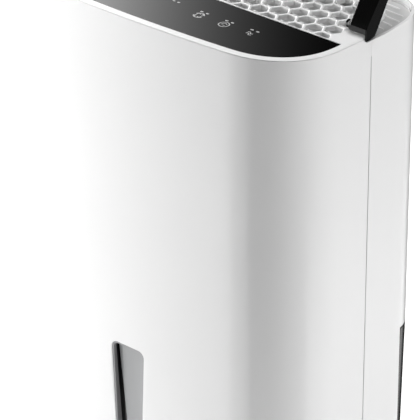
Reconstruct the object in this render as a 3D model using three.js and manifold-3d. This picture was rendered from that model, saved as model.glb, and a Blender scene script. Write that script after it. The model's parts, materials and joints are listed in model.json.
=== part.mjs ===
// Tower dehumidifier with a rear water tank, a folding carry handle and a honeycomb air outlet.
// Millimetres, +Z up. The origin is on the floor under the centre of the cabinet; the front faces -Y.
import * as THREE from 'three';
import { mergeVertices } from 'three/addons/utils/BufferGeometryUtils.js';
import Module from 'manifold-3d';

const wasm = await Module();
wasm.setup();

// ---------------------------------------------------------------- driving dimensions
const cabinet = { width: 350, depth: 185, height: 500, bow: 10, frontCorner: 66, rearCorner: 37 };
const cornerPower = 2.15;          // exponent of the front corners: a little squarer than a circle
const wall = 2.6;                  // moulded shell thickness
const innerWall = 2.2;             // thickness of the inner mouldings
const seat = 0.3;                  // clearance between pieces that rest on each other
const slideGap = 0.5;              // clearance round pieces that slide
const seamY = 14.2;                // where the front shell meets the rear shell
const seamGroove = 0.7;            // width of the visible side groove
const seamTop = 19;                // the side groove starts this far below the rim
const rim = { band: 0.8, seam: 0.3, endY: 7.2 };

const foot = { height: 6, radius: 12, inX: 40, inY: 34 };
const base = { floor: 3, wallHeight: 18 };
const shellClearance = 2;          // the shells stop this far above the base floor's underside

const panel = { inset: 7.3, rearY: -15.4, thickness: 2.6, sink: 0.4 };
const topPlate = 4.4;              // thickness of the cover's top plate
const coverSkirt = 14;             // how far the cover reaches down inside the shells
const cell = { stepX: 14.5, stepY: 16.1, flat: 13.6, halfLength: 8.2, originY: 2.2, margin: 3.2 };
const vane = { depth: 14, thickness: 1.6, lean: 4, firstY: -9, count: 9, endGap: 5.8 };
const channel = { width: 18, startY: 9, floorDepth: 6, edgeDepth: 4.6, slope: 1, plate: 2.4 };
const channelRib = { pitch: 10.3, firstY: 40.6, thickness: 1.8, count: 5, rearPitch: 40.8, outer: 8 };
const dip = { startY: 7.4, depth: 4.6, riseY: 28, endY: 86 };

const handle = { lean: 30.5, thickness: 10.6, drop: 2, edge: 1.2, footProud: 2, footGap: 0.4 };
const pivot = { y: 10.7, above: 5.4, barrel: 5.1, pin: 2, bore: 2.3, shoulder: 1.6, pinReach: 12 };
const handleInset = { foot: -2, rear: 3.8, inner: 16.4, blendStart: 22, blendEnd: 38 };
const bracket = { width: 1.4, gap: 2.6, radius: 3.6, stem: 4.2, mouth: 1.5 };

const windowSlot = { top: 193, bottom: 48, topLeft: -17, topRight: 20.3, bottomLeft: -10, bottomRight: 15 };
const windowRim = { wall: 1.4, depth: 7, corner: 6, lens: 2 };

const tank = {
  height: 186,
  sideGap: 63,
  frontGap: 8.5,
  rearGap: 22.5,
  floorGap: 0.4,
  wall: 2.2,
  corner: 14,
  draft: 3,
};
const grip = { halfWidth: 45, below: 11, height: 34, depth: 15, wall: 2.4, corner: 9 };
const float = { length: 30, width: 24, height: 14, reach: 38, below: 12, trunnion: 1.5 };
const deck = { headroom: 18.6, thickness: 4 };
const sideWall = { clearance: 4, thickness: 3 };
const fin = { pitch: 18, thick: 3, proud: 1.5 };
const motor = { radius: 31, length: 30 };
const spout = { x: 60, y: 44, radius: 7, wall: 2, gap: 1.2 };
const drain = { y: 44, above: 16, hole: 8, flange: 3, proud: 1.6, reach: 4 };
const gland = { y: 44, above: 48, hole: 6.5, flange: 2.5, bore: 3.6, proud: 1.4, reach: 3 };
const slot = { pitch: 11, height: 5.4, bar: 7, columns: 2, marginX: 12, marginZ: 14 };
const mesh = { thickness: 1.6 };

// ---------------------------------------------------------------- levels worked out from them
const rimZ = cabinet.height;
const halfWidth = cabinet.width / 2;
const halfDepth = cabinet.depth / 2;
const baseZ = foot.height;
const floorZ = baseZ + base.floor;
const pivotZ = rimZ + pivot.above;
const barrelInner = halfWidth - handleInset.inner - pivot.shoulder;
const tankHalf = halfWidth - tank.sideGap;
const tankFrontY = -halfDepth + tank.frontGap;
const tankRearY = halfDepth - tank.rearGap;
const tankBottom = floorZ + tank.floorGap;
const tankTop = tankBottom + tank.height;
const deckBottom = tankTop + deck.headroom;
const deckTop = deckBottom + deck.thickness;
const floatPivot = { x: -tankHalf + tank.wall + 6, y: -30, z: tankTop - float.below };

// ---------------------------------------------------------------- what is laid out from walls, deck and rim
const tankFace = { top: deckBottom - 3, startY: halfDepth - 29.6, thickness: 3, tuck: 3.5, gap: 0.6 };
const rearPanel = {
  top: rimZ - 23,
  bottom: deckTop + 4,
  startY: halfDepth - 16.5,
  thickness: 2.2,
  rabbet: 2.5,
};
const filterWindow = {
  halfWidth: halfWidth - 45,
  bottom: deckTop + 18,
  top: rimZ - 38,
  frontY: halfDepth - 12.5,
};
const fan = {
  spare: 39,                       // half the cabinet's width less the fan's diameter
  width: 44,
  blades: 9,
  frontY: -32,
  clearance: 8,
  outletSide: 14,
  sideRoom: 24.4,
  plate: 2.4,
};
fan.radius = (halfWidth - fan.spare) / 2;
fan.eye = fan.radius - 22;
fan.hub = fan.radius / 2;
fan.x = halfWidth - wall - fan.sideRoom - fan.outletSide - fan.clearance - fan.radius;
const fanRearY = fan.frontY + fan.width;
const fanLeft = fan.x - fan.radius - fan.clearance;
const fanRight = fan.x + fan.radius + fan.clearance + fan.outletSide;

const compressorRoom = { side: 11.4, fan: 18.6, feet: 10, coil: 1, condenser: 50 };
const compressorLeft = -halfWidth + wall + compressorRoom.side;
const compressorRight = fanLeft - fan.plate - compressorRoom.fan;
const coil = {
  left: compressorRight + compressorRoom.coil,
  right: halfWidth - 23,
  bottom: deckTop + 28,
  top: rimZ - 48,
  rearY: halfDepth - 13.5,
  depth: 21,
  gap: 4,
  rows: 6,
};
const condenserRear = coil.rearY - coil.depth - coil.gap;
const compressor = {
  x: (compressorLeft + compressorRight) / 2,
  y: condenserRear - compressorRoom.condenser,
  radius: (compressorRight - compressorLeft) / 2 - compressorRoom.feet,
  height: rimZ - deckTop - 114,
  footHeight: 12,
};
fan.z = (deckTop + coil.top) / 2 + 10;
const electrics = {
  left: -halfWidth + 17,
  right: coil.left + 4,
  front: -halfDepth + 34.5,
  rear: condenserRear - coil.depth - 13,
  bottom: rimZ - 58,
  wall: 2,
  height: 26,
};

// ---------------------------------------------------------------- solids
const identity = new THREE.Matrix4();
const basis = (x, y, z) => new THREE.Matrix4().makeBasis(
  new THREE.Vector3(...x),
  new THREE.Vector3(...y),
  new THREE.Vector3(...z),
);
// profile planes: the shape's x and y run along the first two axes, and it is extruded along the third
const onXY = identity;
const onYZ = basis([0, 1, 0], [0, 0, 1], [1, 0, 0]);
const onZX = basis([0, 0, 1], [1, 0, 0], [0, 1, 0]);

function solid(geometry, matrix = identity) {
  const bare = geometry.clone().applyMatrix4(matrix);
  bare.deleteAttribute('normal');
  bare.deleteAttribute('uv');
  const merged = mergeVertices(bare, 1e-4);
  return new wasm.Manifold(new wasm.Mesh({
    numProp: 3,
    vertProperties: new Float32Array(merged.attributes.position.array),
    triVerts: new Uint32Array(merged.index.array),
  }));
}

const shapeOf = (points) => new THREE.Shape(points.map(([x, y]) => new THREE.Vector2(x, y)));

function extrude(points, from, to, plane = onXY, bevel = 0) {
  const shape = points.isShape ? points : shapeOf(points);
  const geometry = new THREE.ExtrudeGeometry(shape, {
    depth: to - from - 2 * bevel,
    bevelEnabled: bevel > 0,
    bevelThickness: bevel,
    bevelSize: bevel,
    bevelOffset: -bevel,
    bevelSegments: 1,
    curveSegments: 8,
  });
  geometry.translate(0, 0, from + bevel);
  return solid(geometry, plane);
}

function box(x0, x1, y0, y1, z0, z1) {
  const geometry = new THREE.BoxGeometry(x1 - x0, y1 - y0, z1 - z0);
  geometry.translate((x0 + x1) / 2, (y0 + y1) / 2, (z0 + z1) / 2);
  return solid(geometry);
}

// a round bar along X, Y or Z; u and v are the centre on the other two axes in X, Y, Z order
function bar(axis, radius, from, to, u, v, sides = 24, endRadius = radius) {
  const geometry = new THREE.CylinderGeometry(endRadius, radius, to - from, sides);
  if (axis === 'x') geometry.rotateZ(-Math.PI / 2);
  if (axis === 'z') geometry.rotateX(Math.PI / 2);
  const middle = (from + to) / 2;
  const place = { x: [middle, u, v], y: [u, middle, v], z: [u, v, middle] }[axis];
  geometry.translate(...place);
  return solid(geometry);
}

function revolve(profile, x, y, z, sides = 32) {
  const geometry = new THREE.LatheGeometry(profile.map(([r, h]) => new THREE.Vector2(r, h)), sides);
  geometry.rotateX(Math.PI / 2);
  geometry.translate(x, y, z);
  return solid(geometry);
}

// a body between two outlines with as many points each, at two heights
function loft(lower, lowerZ, upper, upperZ) {
  const n = lower.length;
  const faces = THREE.ShapeUtils.triangulateShape(lower.map(([x, y]) => new THREE.Vector2(x, y)), []);
  const index = [];
  faces.forEach(([a, b, c]) => index.push(c, b, a, a + n, b + n, c + n));
  for (let i = 0; i < n; i += 1) {
    const j = (i + 1) % n;
    index.push(i, j, j + n, i, j + n, i + n);
  }
  const points = [...lower.map(([x, y]) => [x, y, lowerZ]), ...upper.map(([x, y]) => [x, y, upperZ])];
  const geometry = new THREE.BufferGeometry();
  geometry.setAttribute('position', new THREE.Float32BufferAttribute(points.flat(), 3));
  geometry.setIndex(index);
  return solid(geometry);
}

function pipe(points, radius, quarterSides = 4, steps = 18) {
  const path = new THREE.CatmullRomCurve3(points.map((p) => new THREE.Vector3(...p)), false, 'centripetal');
  const section = new THREE.Shape();
  section.absarc(0, 0, radius, 0, Math.PI * 2);
  return solid(new THREE.ExtrudeGeometry(section, {
    steps,
    extrudePath: path,
    bevelEnabled: false,
    curveSegments: quarterSides,
  }));
}

const join = (...solids) => wasm.Manifold.union(solids.flat());
const cut = (body, ...tools) => body.subtract(join(...tools));
const mirrorX = (points) => points.map(([x, y]) => [-x, y]).reverse();

function roundedBox(x0, x1, y0, y1, corner, steps = 4) {
  const points = [];
  const centres = [[x1 - corner, y1 - corner], [x0 + corner, y1 - corner],
    [x0 + corner, y0 + corner], [x1 - corner, y0 + corner]];
  centres.forEach(([cx, cy], k) => {
    for (let i = 0; i <= steps; i += 1) {
      const turn = (k + i / steps) * Math.PI / 2;
      points.push([cx + corner * Math.cos(turn), cy + corner * Math.sin(turn)]);
    }
  });
  return points;
}

// ---------------------------------------------------------------- the cabinet's plan outline
// right half from the front centre to the rear centre: bowed front, superellipse corner, straight
// side and round rear corner
function halfPlan() {
  const points = [];
  const { bow, frontCorner, rearCorner } = cabinet;
  const frontY = (x) => -halfDepth + bow * (x / halfWidth) ** 2;
  const x0 = halfWidth - frontCorner;
  const steps = { front: 5, corner: 12, rear: 8 };
  for (let i = 0; i <= steps.front; i += 1) points.push([x0 * i / steps.front, frontY(x0 * i / steps.front)]);
  const slope = 2 * bow * x0 / halfWidth ** 2;
  for (let i = 1; i <= steps.corner; i += 1) {
    const turn = i / steps.corner * Math.PI / 2;
    const dx = frontCorner * Math.abs(Math.sin(turn)) ** (2 / cornerPower);
    const dy = frontCorner * (1 - Math.abs(Math.cos(turn)) ** (2 / cornerPower));
    points.push([x0 + dx, frontY(x0) + dy + slope * dx * (1 - dx / frontCorner)]);
  }
  for (let i = 0; i <= steps.rear; i += 1) {
    const turn = i / steps.rear * Math.PI / 2;
    points.push([
      halfWidth - rearCorner * (1 - Math.cos(turn)),
      halfDepth - rearCorner * (1 - Math.sin(turn)),
    ]);
  }
  points.push([0, halfDepth]);
  return points;
}

// the outline moved inwards by a distance that may change along Y
function plan(inset) {
  const at = typeof inset === 'function' ? inset : () => inset;
  const half = halfPlan();
  const last = half.length - 1;
  const moved = half.map(([x, y], i) => {
    const before = i === 0 ? [-half[1][0], half[1][1]] : half[i - 1];
    const after = i === last ? [-half[last - 1][0], half[last - 1][1]] : half[i + 1];
    const tx = after[0] - before[0];
    const ty = after[1] - before[1];
    const length = Math.hypot(tx, ty);
    return [x - at(y) * ty / length, y + at(y) * tx / length];
  });
  return [...moved, ...mirrorX(moved.slice(1, last))];
}

const slab = (inset, z0, z1) => extrude(plan(inset), z0, z1);
const ring = (outer, inner, z0, z1) => cut(slab(outer, z0, z1), slab(inner, z0 - 1, z1 + 1));
const far = 600;
const behind = (y, z0 = -far, z1 = far * 2) => box(-far, far, y, far, z0, z1);
const ahead = (y, z0 = -far, z1 = far * 2) => box(-far, far, -far, y, z0, z1);

// ---------------------------------------------------------------- shells
const smooth = (t) => t * t * (3 - 2 * t);

// what is cut off the side walls so that the folded handle can lie in them
function sideDip() {
  const edge = [[dip.startY, rimZ - dip.depth]];
  const steps = 8;
  for (let i = 0; i <= steps; i += 1) {
    const t = i / steps;
    edge.push([dip.riseY + (dip.endY - dip.riseY) * t, rimZ - dip.depth * (1 - smooth(t))]);
  }
  edge.push([dip.endY, rimZ + 10], [dip.startY, rimZ + 10]);
  return extrude(edge, -far, far, onYZ);
}

function windowOutline(shrink) {
  const { top, bottom, topLeft, topRight, bottomLeft, bottomRight } = windowSlot;
  const corners = [[bottomLeft + shrink, bottom + shrink], [bottomRight - shrink, bottom + shrink],
    [topRight - shrink, top - shrink], [topLeft + shrink, top - shrink]];
  const round = Math.max(windowRim.corner - shrink, 1);
  const points = [];
  corners.forEach((corner, k) => {
    const before = corners[(k + 3) % 4];
    const after = corners[(k + 1) % 4];
    const steps = 5;
    const towards = ([x, z]) => {
      const length = Math.hypot(x - corner[0], z - corner[1]);
      return [corner[0] + (x - corner[0]) * round / length, corner[1] + (z - corner[1]) * round / length];
    };
    const a = towards(before);
    const b = towards(after);
    for (let i = 0; i <= steps; i += 1) {
      const t = i / steps;
      const mix = (k2) => (1 - t) ** 2 * a[k2] + 2 * t * (1 - t) * corner[k2] + t * t * b[k2];
      points.push([mix(1), mix(0)]);
    }
  });
  return points.reverse();
}
const windowPrism = (shrink, y0, y1) => extrude(windowOutline(shrink), y0, y1, onZX);

function frontShell() {
  const bottom = baseZ + shellClearance;
  const body = join(
    ring(0, wall, bottom, rimZ),
    ...[-1, 1].map((side) => box(
      side * (halfWidth - 75) - 1,
      side * (halfWidth - 75) + 1,
      -halfDepth + 4,
      -halfDepth + 9,
      deckBottom + 20,
      rimZ - coverSkirt - 8,
    )),
  );
  const joint = seat / 2;
  return cut(
    body,
    behind(seamY - joint),
    behind(seamY - seamGroove / 2, -far, rimZ - seamTop),
    ahead(rim.endY + seat, rimZ - rim.band - rim.seam),
    sideDip(),
    windowPrism(0, -halfDepth - 5, -halfDepth + 12),
  );
}

function rearShell() {
  const bottom = baseZ + shellClearance;
  const joint = seat / 2;
  const frame = ring(rearPanel.rabbet, rearPanel.rabbet + wall, rearPanel.bottom - 7, rearPanel.top + 7);
  const body = join(ring(0, wall, bottom, rimZ), frame.intersect(behind(halfDepth - 32.5)));
  const { halfWidth: w, bottom: z0, top: z1 } = filterWindow;
  const panelSeat = ring(-1, rearPanel.rabbet, rearPanel.bottom - slideGap, rearPanel.top + slideGap);
  return cut(
    body,
    ahead(seamY + joint),
    ahead(seamY + seamGroove / 2, -far, rimZ - seamTop),
    sideDip(),
    behind(tankFace.startY - tankFace.gap, -far, tankFace.top + tankFace.gap),
    panelSeat.intersect(behind(rearPanel.startY - slideGap)),
    box(-w - slideGap, w + slideGap, filterWindow.frontY, halfDepth + 5, z0 - slideGap, z1 + slideGap),
    [drain, gland].map(({ hole, y, above }) => (
      bar('x', hole, -halfWidth - 5, -halfWidth + 12, y, deckTop + above, 16)
    )),
  );
}

// ---------------------------------------------------------------- top cover
function honeycomb() {
  const cells = [];
  const hexagon = [[1, 0], [0.5, 1], [-0.5, 1], [-1, 0], [-0.5, -1], [0.5, -1]];
  const margin = channel.width + cell.margin;
  const columns = Math.floor((halfWidth - margin - cell.halfLength) / cell.stepX);
  const rearLimit = halfDepth - margin - cell.flat / 2;
  for (let column = -columns; column <= columns; column += 1) {
    const x = column * cell.stepX;
    const shift = Math.abs(column % 2) === 1 ? cell.stepY / 2 : 0;
    for (let y = cell.originY + shift - cell.stepY * 2; y <= rearLimit; y += cell.stepY) {
      const cornerX = Math.abs(x) - (halfWidth - cabinet.rearCorner);
      const cornerY = y - (halfDepth - cabinet.rearCorner);
      const room = cabinet.rearCorner - margin - cell.halfLength * 0.6;
      const inCorner = cornerX > 0 && cornerY > 0 && Math.hypot(cornerX, cornerY) > room;
      if (y > panel.rearY - cell.flat / 2 && !inCorner) {
        const outline = hexagon.map(([u, v]) => [x + u * cell.halfLength, y + v * cell.flat / 2]);
        cells.push(extrude(outline, rimZ - topPlate - 1, rimZ + 1));
      }
    }
  }
  return join(cells).intersect(behind(panel.rearY + 1.6));
}

function channelTool() {
  const scoop = loft(
    plan(wall + seat + channel.slope),
    rimZ - channel.floorDepth,
    plan(wall),
    rimZ - channel.edgeDepth,
  );
  const above = slab(-5, rimZ - channel.edgeDepth, rimZ + 5);
  const island = slab(channel.width, 0, rimZ + 10);
  return cut(join(scoop, above), island).intersect(behind(channel.startY));
}

function channelRibs() {
  const ribs = [];
  const half = channelRib.thickness / 2;
  const low = rimZ - channel.floorDepth - 1;
  const high = rimZ - channel.edgeDepth;
  for (let i = 0; i < channelRib.count; i += 1) {
    const y = channelRib.firstY + i * channelRib.pitch;
    [-1, 1].forEach((side) => {
      const inner = halfWidth - cabinet.rearCorner - 14;
      ribs.push(box(side > 0 ? inner : -far, side > 0 ? far : -inner, y - half, y + half, low, high));
    });
  }
  for (let x = -3; x <= 3; x += 1) {
    const centre = x * channelRib.rearPitch;
    ribs.push(box(centre - half, centre + half, halfDepth - cabinet.rearCorner + 4, far, low, high));
  }
  const zone = ring(channelRib.outer, channel.width - 0.5, low - 1, high + 1);
  return join(ribs).intersect(zone);
}

function topCover() {
  const fit = wall + seat;
  const under = rimZ - topPlate;
  const troughBottom = rimZ - channel.floorDepth - channel.plate;
  const trough = ring(fit, channel.width + innerWall, troughBottom, under + 1);
  const shell = join(
    ring(fit, fit + innerWall, rimZ - coverSkirt, under + 1),
    slab(fit, under, rimZ),
    slab(0, rimZ - rim.band, rimZ).intersect(ahead(rim.endY)),
    trough.intersect(behind(channel.startY - innerWall)),
  );
  const panelBed = slab(panel.inset, rimZ - panel.thickness - panel.sink - seat, rimZ + 1);
  const body = cut(shell, panelBed.intersect(ahead(panel.rearY)), honeycomb(), channelTool());
  return join(body, channelRibs());
}

function controlPanel() {
  const body = slab(panel.inset + seat, rimZ - panel.thickness - panel.sink, rimZ - panel.sink);
  return body.intersect(ahead(panel.rearY - seat));
}

function controlBoard() {
  const top = rimZ - topPlate - seat;
  const outline = roundedBox(-halfWidth + 79, halfWidth - 79, -halfDepth + 22, panel.rearY - 4, 4, 3);
  return join(extrude(outline, top - 1.6, top), box(-30, 30, -45, -33, top - 6.6, top - 1.5));
}

function outletVanes() {
  const top = rimZ - topPlate - seat;
  const { depth, thickness, lean, firstY, count, endGap } = vane;
  const halfLength = halfWidth - channel.width - innerWall - endGap;
  const pitch = cell.stepY / 2;
  const rearY = firstY + (count - 1) * pitch + lean + thickness + 2;
  const rail = (x) => box(x - 1.5, x + 1.5, firstY - 2, rearY, top - depth - 2, top);
  const parts = [rail(-halfLength), rail(halfLength)];
  for (let i = 0; i < count; i += 1) {
    const y = firstY + i * pitch;
    const profile = [[y, top - 4], [y + lean, top - depth], [y + lean + thickness, top - depth],
      [y + thickness, top - 4]];
    parts.push(extrude(profile, -halfLength, halfLength, onYZ));
  }
  return join(parts);
}

// ---------------------------------------------------------------- carry handle
const turned = (body) => body
  .translate([0, -pivot.y, -pivotZ])
  .rotate([90 - handle.lean, 0, 0])
  .translate([0, pivot.y, pivotZ]);

function handleOutline() {
  const { foot: footInset, rear, inner, blendStart, blendEnd } = handleInset;
  const blend = (y) => smooth(Math.min(Math.max((y - blendStart) / (blendEnd - blendStart), 0), 1));
  // extra points along the straight side so that it can follow the blend
  const side = [];
  const steps = 10;
  for (let i = 0; i <= steps; i += 1) {
    const y = pivot.y + (halfDepth - cabinet.rearCorner - pivot.y) * i / steps;
    side.push([halfWidth - footInset - (rear - footInset) * blend(y), y]);
  }
  const corner = (inset) => {
    const arc = [];
    const radius = cabinet.rearCorner - inset;
    for (let i = 1; i <= 8; i += 1) {
      const turn = i / 8 * Math.PI / 2;
      arc.push([
        halfWidth - cabinet.rearCorner + radius * Math.cos(turn),
        halfDepth - cabinet.rearCorner + radius * Math.sin(turn),
      ]);
    }
    return arc;
  };
  const outer = [...side, ...corner(rear)];
  const innerHalf = [...corner(inner).reverse(), [halfWidth - inner, halfDepth - cabinet.rearCorner],
    [halfWidth - inner, pivot.y]];
  return [...outer, ...mirrorX(outer), ...mirrorX(innerHalf), ...innerHalf];
}

// side view of the foot plate at rest: a vertical front edge that hangs over the side wall
function footPlate(side) {
  const along = (s, across) => {
    const lean = THREE.MathUtils.degToRad(handle.lean);
    return [
      pivot.y + s * Math.sin(lean) + across * Math.cos(lean),
      pivotZ + s * Math.cos(lean) - across * Math.sin(lean),
    ];
  };
  const rearAcross = handle.drop + handle.thickness / 2;
  const frontAcross = handle.drop - handle.thickness / 2;
  const frontY = pivot.y - 3.6;
  const profile = [
    [frontY, rimZ - 4.4],
    [frontY + 4.6, rimZ - 3.7],
    [frontY + 9.2, rimZ - 2.1],
    along(0, rearAcross),
    along(14, rearAcross),
    along(14, frontAcross),
    along(7, frontAcross),
    along(2.2, frontAcross - 1.2),
    [frontY, pivotZ + 0.4],
  ];
  const inside = halfWidth + handle.footGap;
  const outside = halfWidth + handle.footProud;
  const [from, to] = side > 0 ? [inside, outside] : [-outside, -inside];
  return extrude(profile, from, to, onYZ);
}

function carryHandle() {
  const middle = pivotZ - handle.drop;
  const half = handle.thickness / 2;
  const bow = extrude(handleOutline(), middle - half, middle + half, onXY, handle.edge);
  const barrelOut = halfWidth + handle.footGap + 0.2;
  const parts = [turned(bow)];
  const bores = [];
  [-1, 1].forEach((side) => {
    const span = side > 0 ? [barrelInner, barrelOut] : [-barrelOut, -barrelInner];
    parts.push(bar('x', pivot.barrel, ...span, pivot.y, pivotZ, 20), footPlate(side));
    const end = barrelInner + pivot.pinReach + 1;
    const hole = side > 0 ? [barrelInner - 1, end] : [-end, -barrelInner + 1];
    bores.push(bar('x', pivot.bore, ...hole, pivot.y, pivotZ, 12));
  });
  return cut(join(parts), bores);
}

// a thin hook round the pin, open towards the front, on a stem behind the pin
function hingeBracket(side) {
  const outer = barrelInner - bracket.gap;
  const span = side > 0 ? [outer - bracket.width, outer] : [-outer, -outer + bracket.width];
  const { radius, stem, mouth } = bracket;
  const head = bar('x', radius, ...span, pivot.y, pivotZ, 24);
  const post = box(...span, pivot.y + 0.5, pivot.y + stem, rimZ + seat, pivotZ);
  const opening = box(-far, far, pivot.y - radius - 1, pivot.y, pivotZ - mouth, pivotZ + mouth);
  return cut(join(head, post), bar('x', pivot.bore, -far, far, pivot.y, pivotZ, 12), opening);
}

function hingePin(side) {
  const inner = barrelInner - bracket.gap - bracket.width;
  const ends = [inner - seat, barrelInner + pivot.pinReach];
  const head = [inner - seat - 1.5, inner - seat];
  const flip = ([a, b]) => (side > 0 ? [a, b] : [-b, -a]);
  return join(
    bar('x', pivot.pin, ...flip([ends[0] - 0.5, ends[1]]), pivot.y, pivotZ, 12),
    bar('x', pivot.pin + 1.3, ...flip(head), pivot.y, pivotZ, 12),
  );
}

// ---------------------------------------------------------------- water-level window
function windowFrame() {
  const front = -halfDepth + 0.6;
  const back = front + windowRim.depth;
  const collar = windowPrism(seat, front, back);
  const flange = windowPrism(-3, -halfDepth + wall + 0.7, back);
  return cut(join(collar, flange), windowPrism(seat + windowRim.wall, front - 1, back + 1));
}

function levelWindow() {
  const back = -halfDepth + 0.6 + windowRim.depth;
  return windowPrism(seat + windowRim.wall + seat, back - windowRim.lens, back);
}

// ---------------------------------------------------------------- base and chassis
const footPlaces = () => [[1, -1], [-1, -1], [1, 1], [-1, 1]].map(([sx, sy]) => [
  sx * (halfWidth - foot.inX),
  sy * (halfDepth - foot.inY),
]);

function basePan() {
  const fit = wall + seat;
  const tray = cut(
    slab(fit, baseZ, floorZ + base.wallHeight),
    slab(fit + innerWall, floorZ, floorZ + base.wallHeight + 1),
    behind(tankFace.startY - tankFace.gap - 1, baseZ - 1),
  );
  const sill = slab(tankFace.tuck + 6, baseZ, floorZ).intersect(behind(tankFace.startY - 3));
  const footHoles = footPlaces().map(([x, y]) => bar('z', 3, baseZ - 1, baseZ + 1.5, x, y, 8));
  return cut(join(tray, sill), footHoles);
}

function rubberFoot(x, y) {
  const { height, radius } = foot;
  const profile = [[0, 0], [radius - 2, 0], [radius - 1, 1], [radius, height - seat], [2.6, height - seat],
    [2.6, height + 1], [0, height + 1]];
  return revolve(profile, x, y, 0, 16);
}

function chassis() {
  const fit = wall + seat;
  const inside = tankHalf + sideWall.clearance;
  const plate = slab(rearPanel.rabbet + wall + seat, deckBottom, deckTop);
  const parts = [plate];
  [-1, 1].forEach((side) => {
    const [a, b] = side > 0 ? [inside, inside + sideWall.thickness] : [-inside - sideWall.thickness, -inside];
    parts.push(box(a, b, -halfDepth + 14, halfDepth - 34.5, floorZ + seat, deckBottom + 1));
    const [c, d] = side > 0 ? [inside, halfWidth - fit - 9] : [-halfWidth + fit + 9, -inside];
    parts.push(box(c, d, -20, -17, floorZ + seat, deckBottom + 1));
    parts.push(box(c, d, 30, 33, floorZ + seat, deckBottom + 1));
  });
  const holes = [
    bar('z', spout.radius + spout.gap, deckBottom - 1, deckTop + 1, spout.x, spout.y),
    box(-20, 20, -halfDepth + 30, -halfDepth + 44, deckBottom - 1, deckTop + 1),
  ];
  return cut(join(parts), holes);
}

// ---------------------------------------------------------------- water tank
function tankPlan(inset) {
  const corner = Math.max(tank.corner - inset, 4);
  return roundedBox(-tankHalf + inset, tankHalf - inset, tankFrontY + inset, tankRearY - inset, corner);
}

function tankBucket() {
  const outer = loft(tankPlan(tank.draft), tankBottom, tankPlan(0), tankTop);
  const inner = loft(
    tankPlan(tank.draft + tank.wall),
    tankBottom + tank.wall,
    tankPlan(tank.wall),
    tankTop + 1,
  );
  const lugX = -tankHalf + tank.wall - 0.6;
  const lugs = [-1, 1].map((side) => {
    const y = floatPivot.y + side * (float.width / 2 + 3.2);
    return box(lugX, floatPivot.x + 4, y - 1.4, y + 1.4, floatPivot.z - 5, floatPivot.z + 5);
  });
  return cut(
    join(cut(outer, inner), lugs),
    bar('y', float.trunnion + 0.4, floatPivot.y - 30, floatPivot.y + 30, floatPivot.x, floatPivot.z, 16),
  );
}

function tankFloat() {
  const { length, width, height, reach, trunnion } = float;
  const x = floatPivot.x + reach - length;
  const z = floatPivot.z - 6;
  return join(
    extrude(roundedBox(x, x + length, floatPivot.y - width / 2, floatPivot.y + width / 2, 4), z - height, z),
    box(floatPivot.x - 2, x + 6, floatPivot.y - 3, floatPivot.y + 3, z - 3, z + 2),
    box(floatPivot.x - 2, floatPivot.x + 2, floatPivot.y - 3, floatPivot.y + 3, z, z + 6),
    bar(
      'y',
      trunnion,
      floatPivot.y - width / 2 - 4.2,
      floatPivot.y + width / 2 + 4.2,
      floatPivot.x,
      floatPivot.z,
      16,
    ),
  );
}

function tankLid() {
  const z = tankTop + seat;
  const skirtInset = tank.wall + seat;
  const plate = extrude(tankPlan(0), z, z + 2.4);
  const skirt = cut(
    extrude(tankPlan(skirtInset), z - 5, z + 1),
    extrude(tankPlan(skirtInset + 1.8), z - 6, z + 0.2),
  );
  const lipOuter = bar('z', 19, z - 4, z + 5, spout.x, spout.y, 20);
  return cut(
    join(plate, skirt, lipOuter),
    bar('z', 14, z - 6, z + 8, spout.x, spout.y, 20, 17),
    box(-tankHalf - 1, floatPivot.x + 8, floatPivot.y - 20, floatPivot.y + 20, z - 6, z - 0.1),
  );
}

function tankFacePanel() {
  const { top, startY, thickness, tuck } = tankFace;
  const bottom = floorZ + 0.8;
  const outer = loft(plan(tuck), bottom, plan(0), top);
  const inner = loft(plan(tuck + thickness), bottom - 1, plan(thickness), top - thickness);
  const skin = cut(outer, inner).intersect(behind(startY));
  const pocketFront = halfDepth - grip.depth - grip.wall;
  const gripTop = top - grip.below;
  const gripBottom = gripTop - grip.height;
  const pocket = box(-grip.halfWidth - grip.wall, grip.halfWidth + grip.wall, pocketFront, halfDepth - 2,
    gripBottom - grip.wall, gripTop + grip.wall).intersect(outer);
  const scoop = extrude(
    roundedBox(gripBottom, gripTop, -grip.halfWidth, grip.halfWidth, grip.corner),
    pocketFront + grip.wall,
    halfDepth + 5,
    onZX,
  );
  const ribs = [-84, -60, 60, 84].map((x) => (
    box(x - 1.2, x + 1.2, tankRearY + seat, halfDepth, bottom + 6, top - 8).intersect(outer)
  ));
  return cut(join(skin, pocket, ribs), scoop);
}

// ---------------------------------------------------------------- rear panel and filter
function rearIntake() {
  const { top, bottom, startY, thickness } = rearPanel;
  const skin = ring(0, thickness, bottom, top).intersect(behind(startY));
  const slots = [];
  const { halfWidth: w, bottom: z0, top: z1 } = filterWindow;
  const span = (2 * (w - slot.marginX) + slot.bar) / slot.columns;
  for (let z = z0 + slot.marginZ; z + slot.height <= z1 - slot.marginZ + 1; z += slot.pitch) {
    for (let i = 0; i < slot.columns; i += 1) {
      const x = -w + slot.marginX + i * span;
      slots.push(box(x, x + span - slot.bar, halfDepth - 6, halfDepth + 3, z, z + slot.height));
    }
  }
  const notch = [-1, 1].map((side) => bar('y', 9, halfDepth - 6, halfDepth + 3, side * 100, top + 3));
  return cut(skin, slots, notch);
}

function filterMesh() {
  const { halfWidth: w, bottom, top } = filterWindow;
  const back = halfDepth - rearPanel.thickness - seat;
  const frame = cut(
    box(-w, w, back - 4, back, bottom, top),
    box(-w + 6, w - 6, back - 5, back - mesh.thickness, bottom + 6, top - 6),
  );
  return frame;
}

// ---------------------------------------------------------------- refrigeration
const mountPlaces = () => [0, 1, 2].map((i) => {
  const turn = i * Math.PI * 2 / 3 + Math.PI / 6;
  const r = compressor.radius + 4.4;
  return [compressor.x + r * Math.cos(turn), compressor.y + r * Math.sin(turn)];
});

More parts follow.
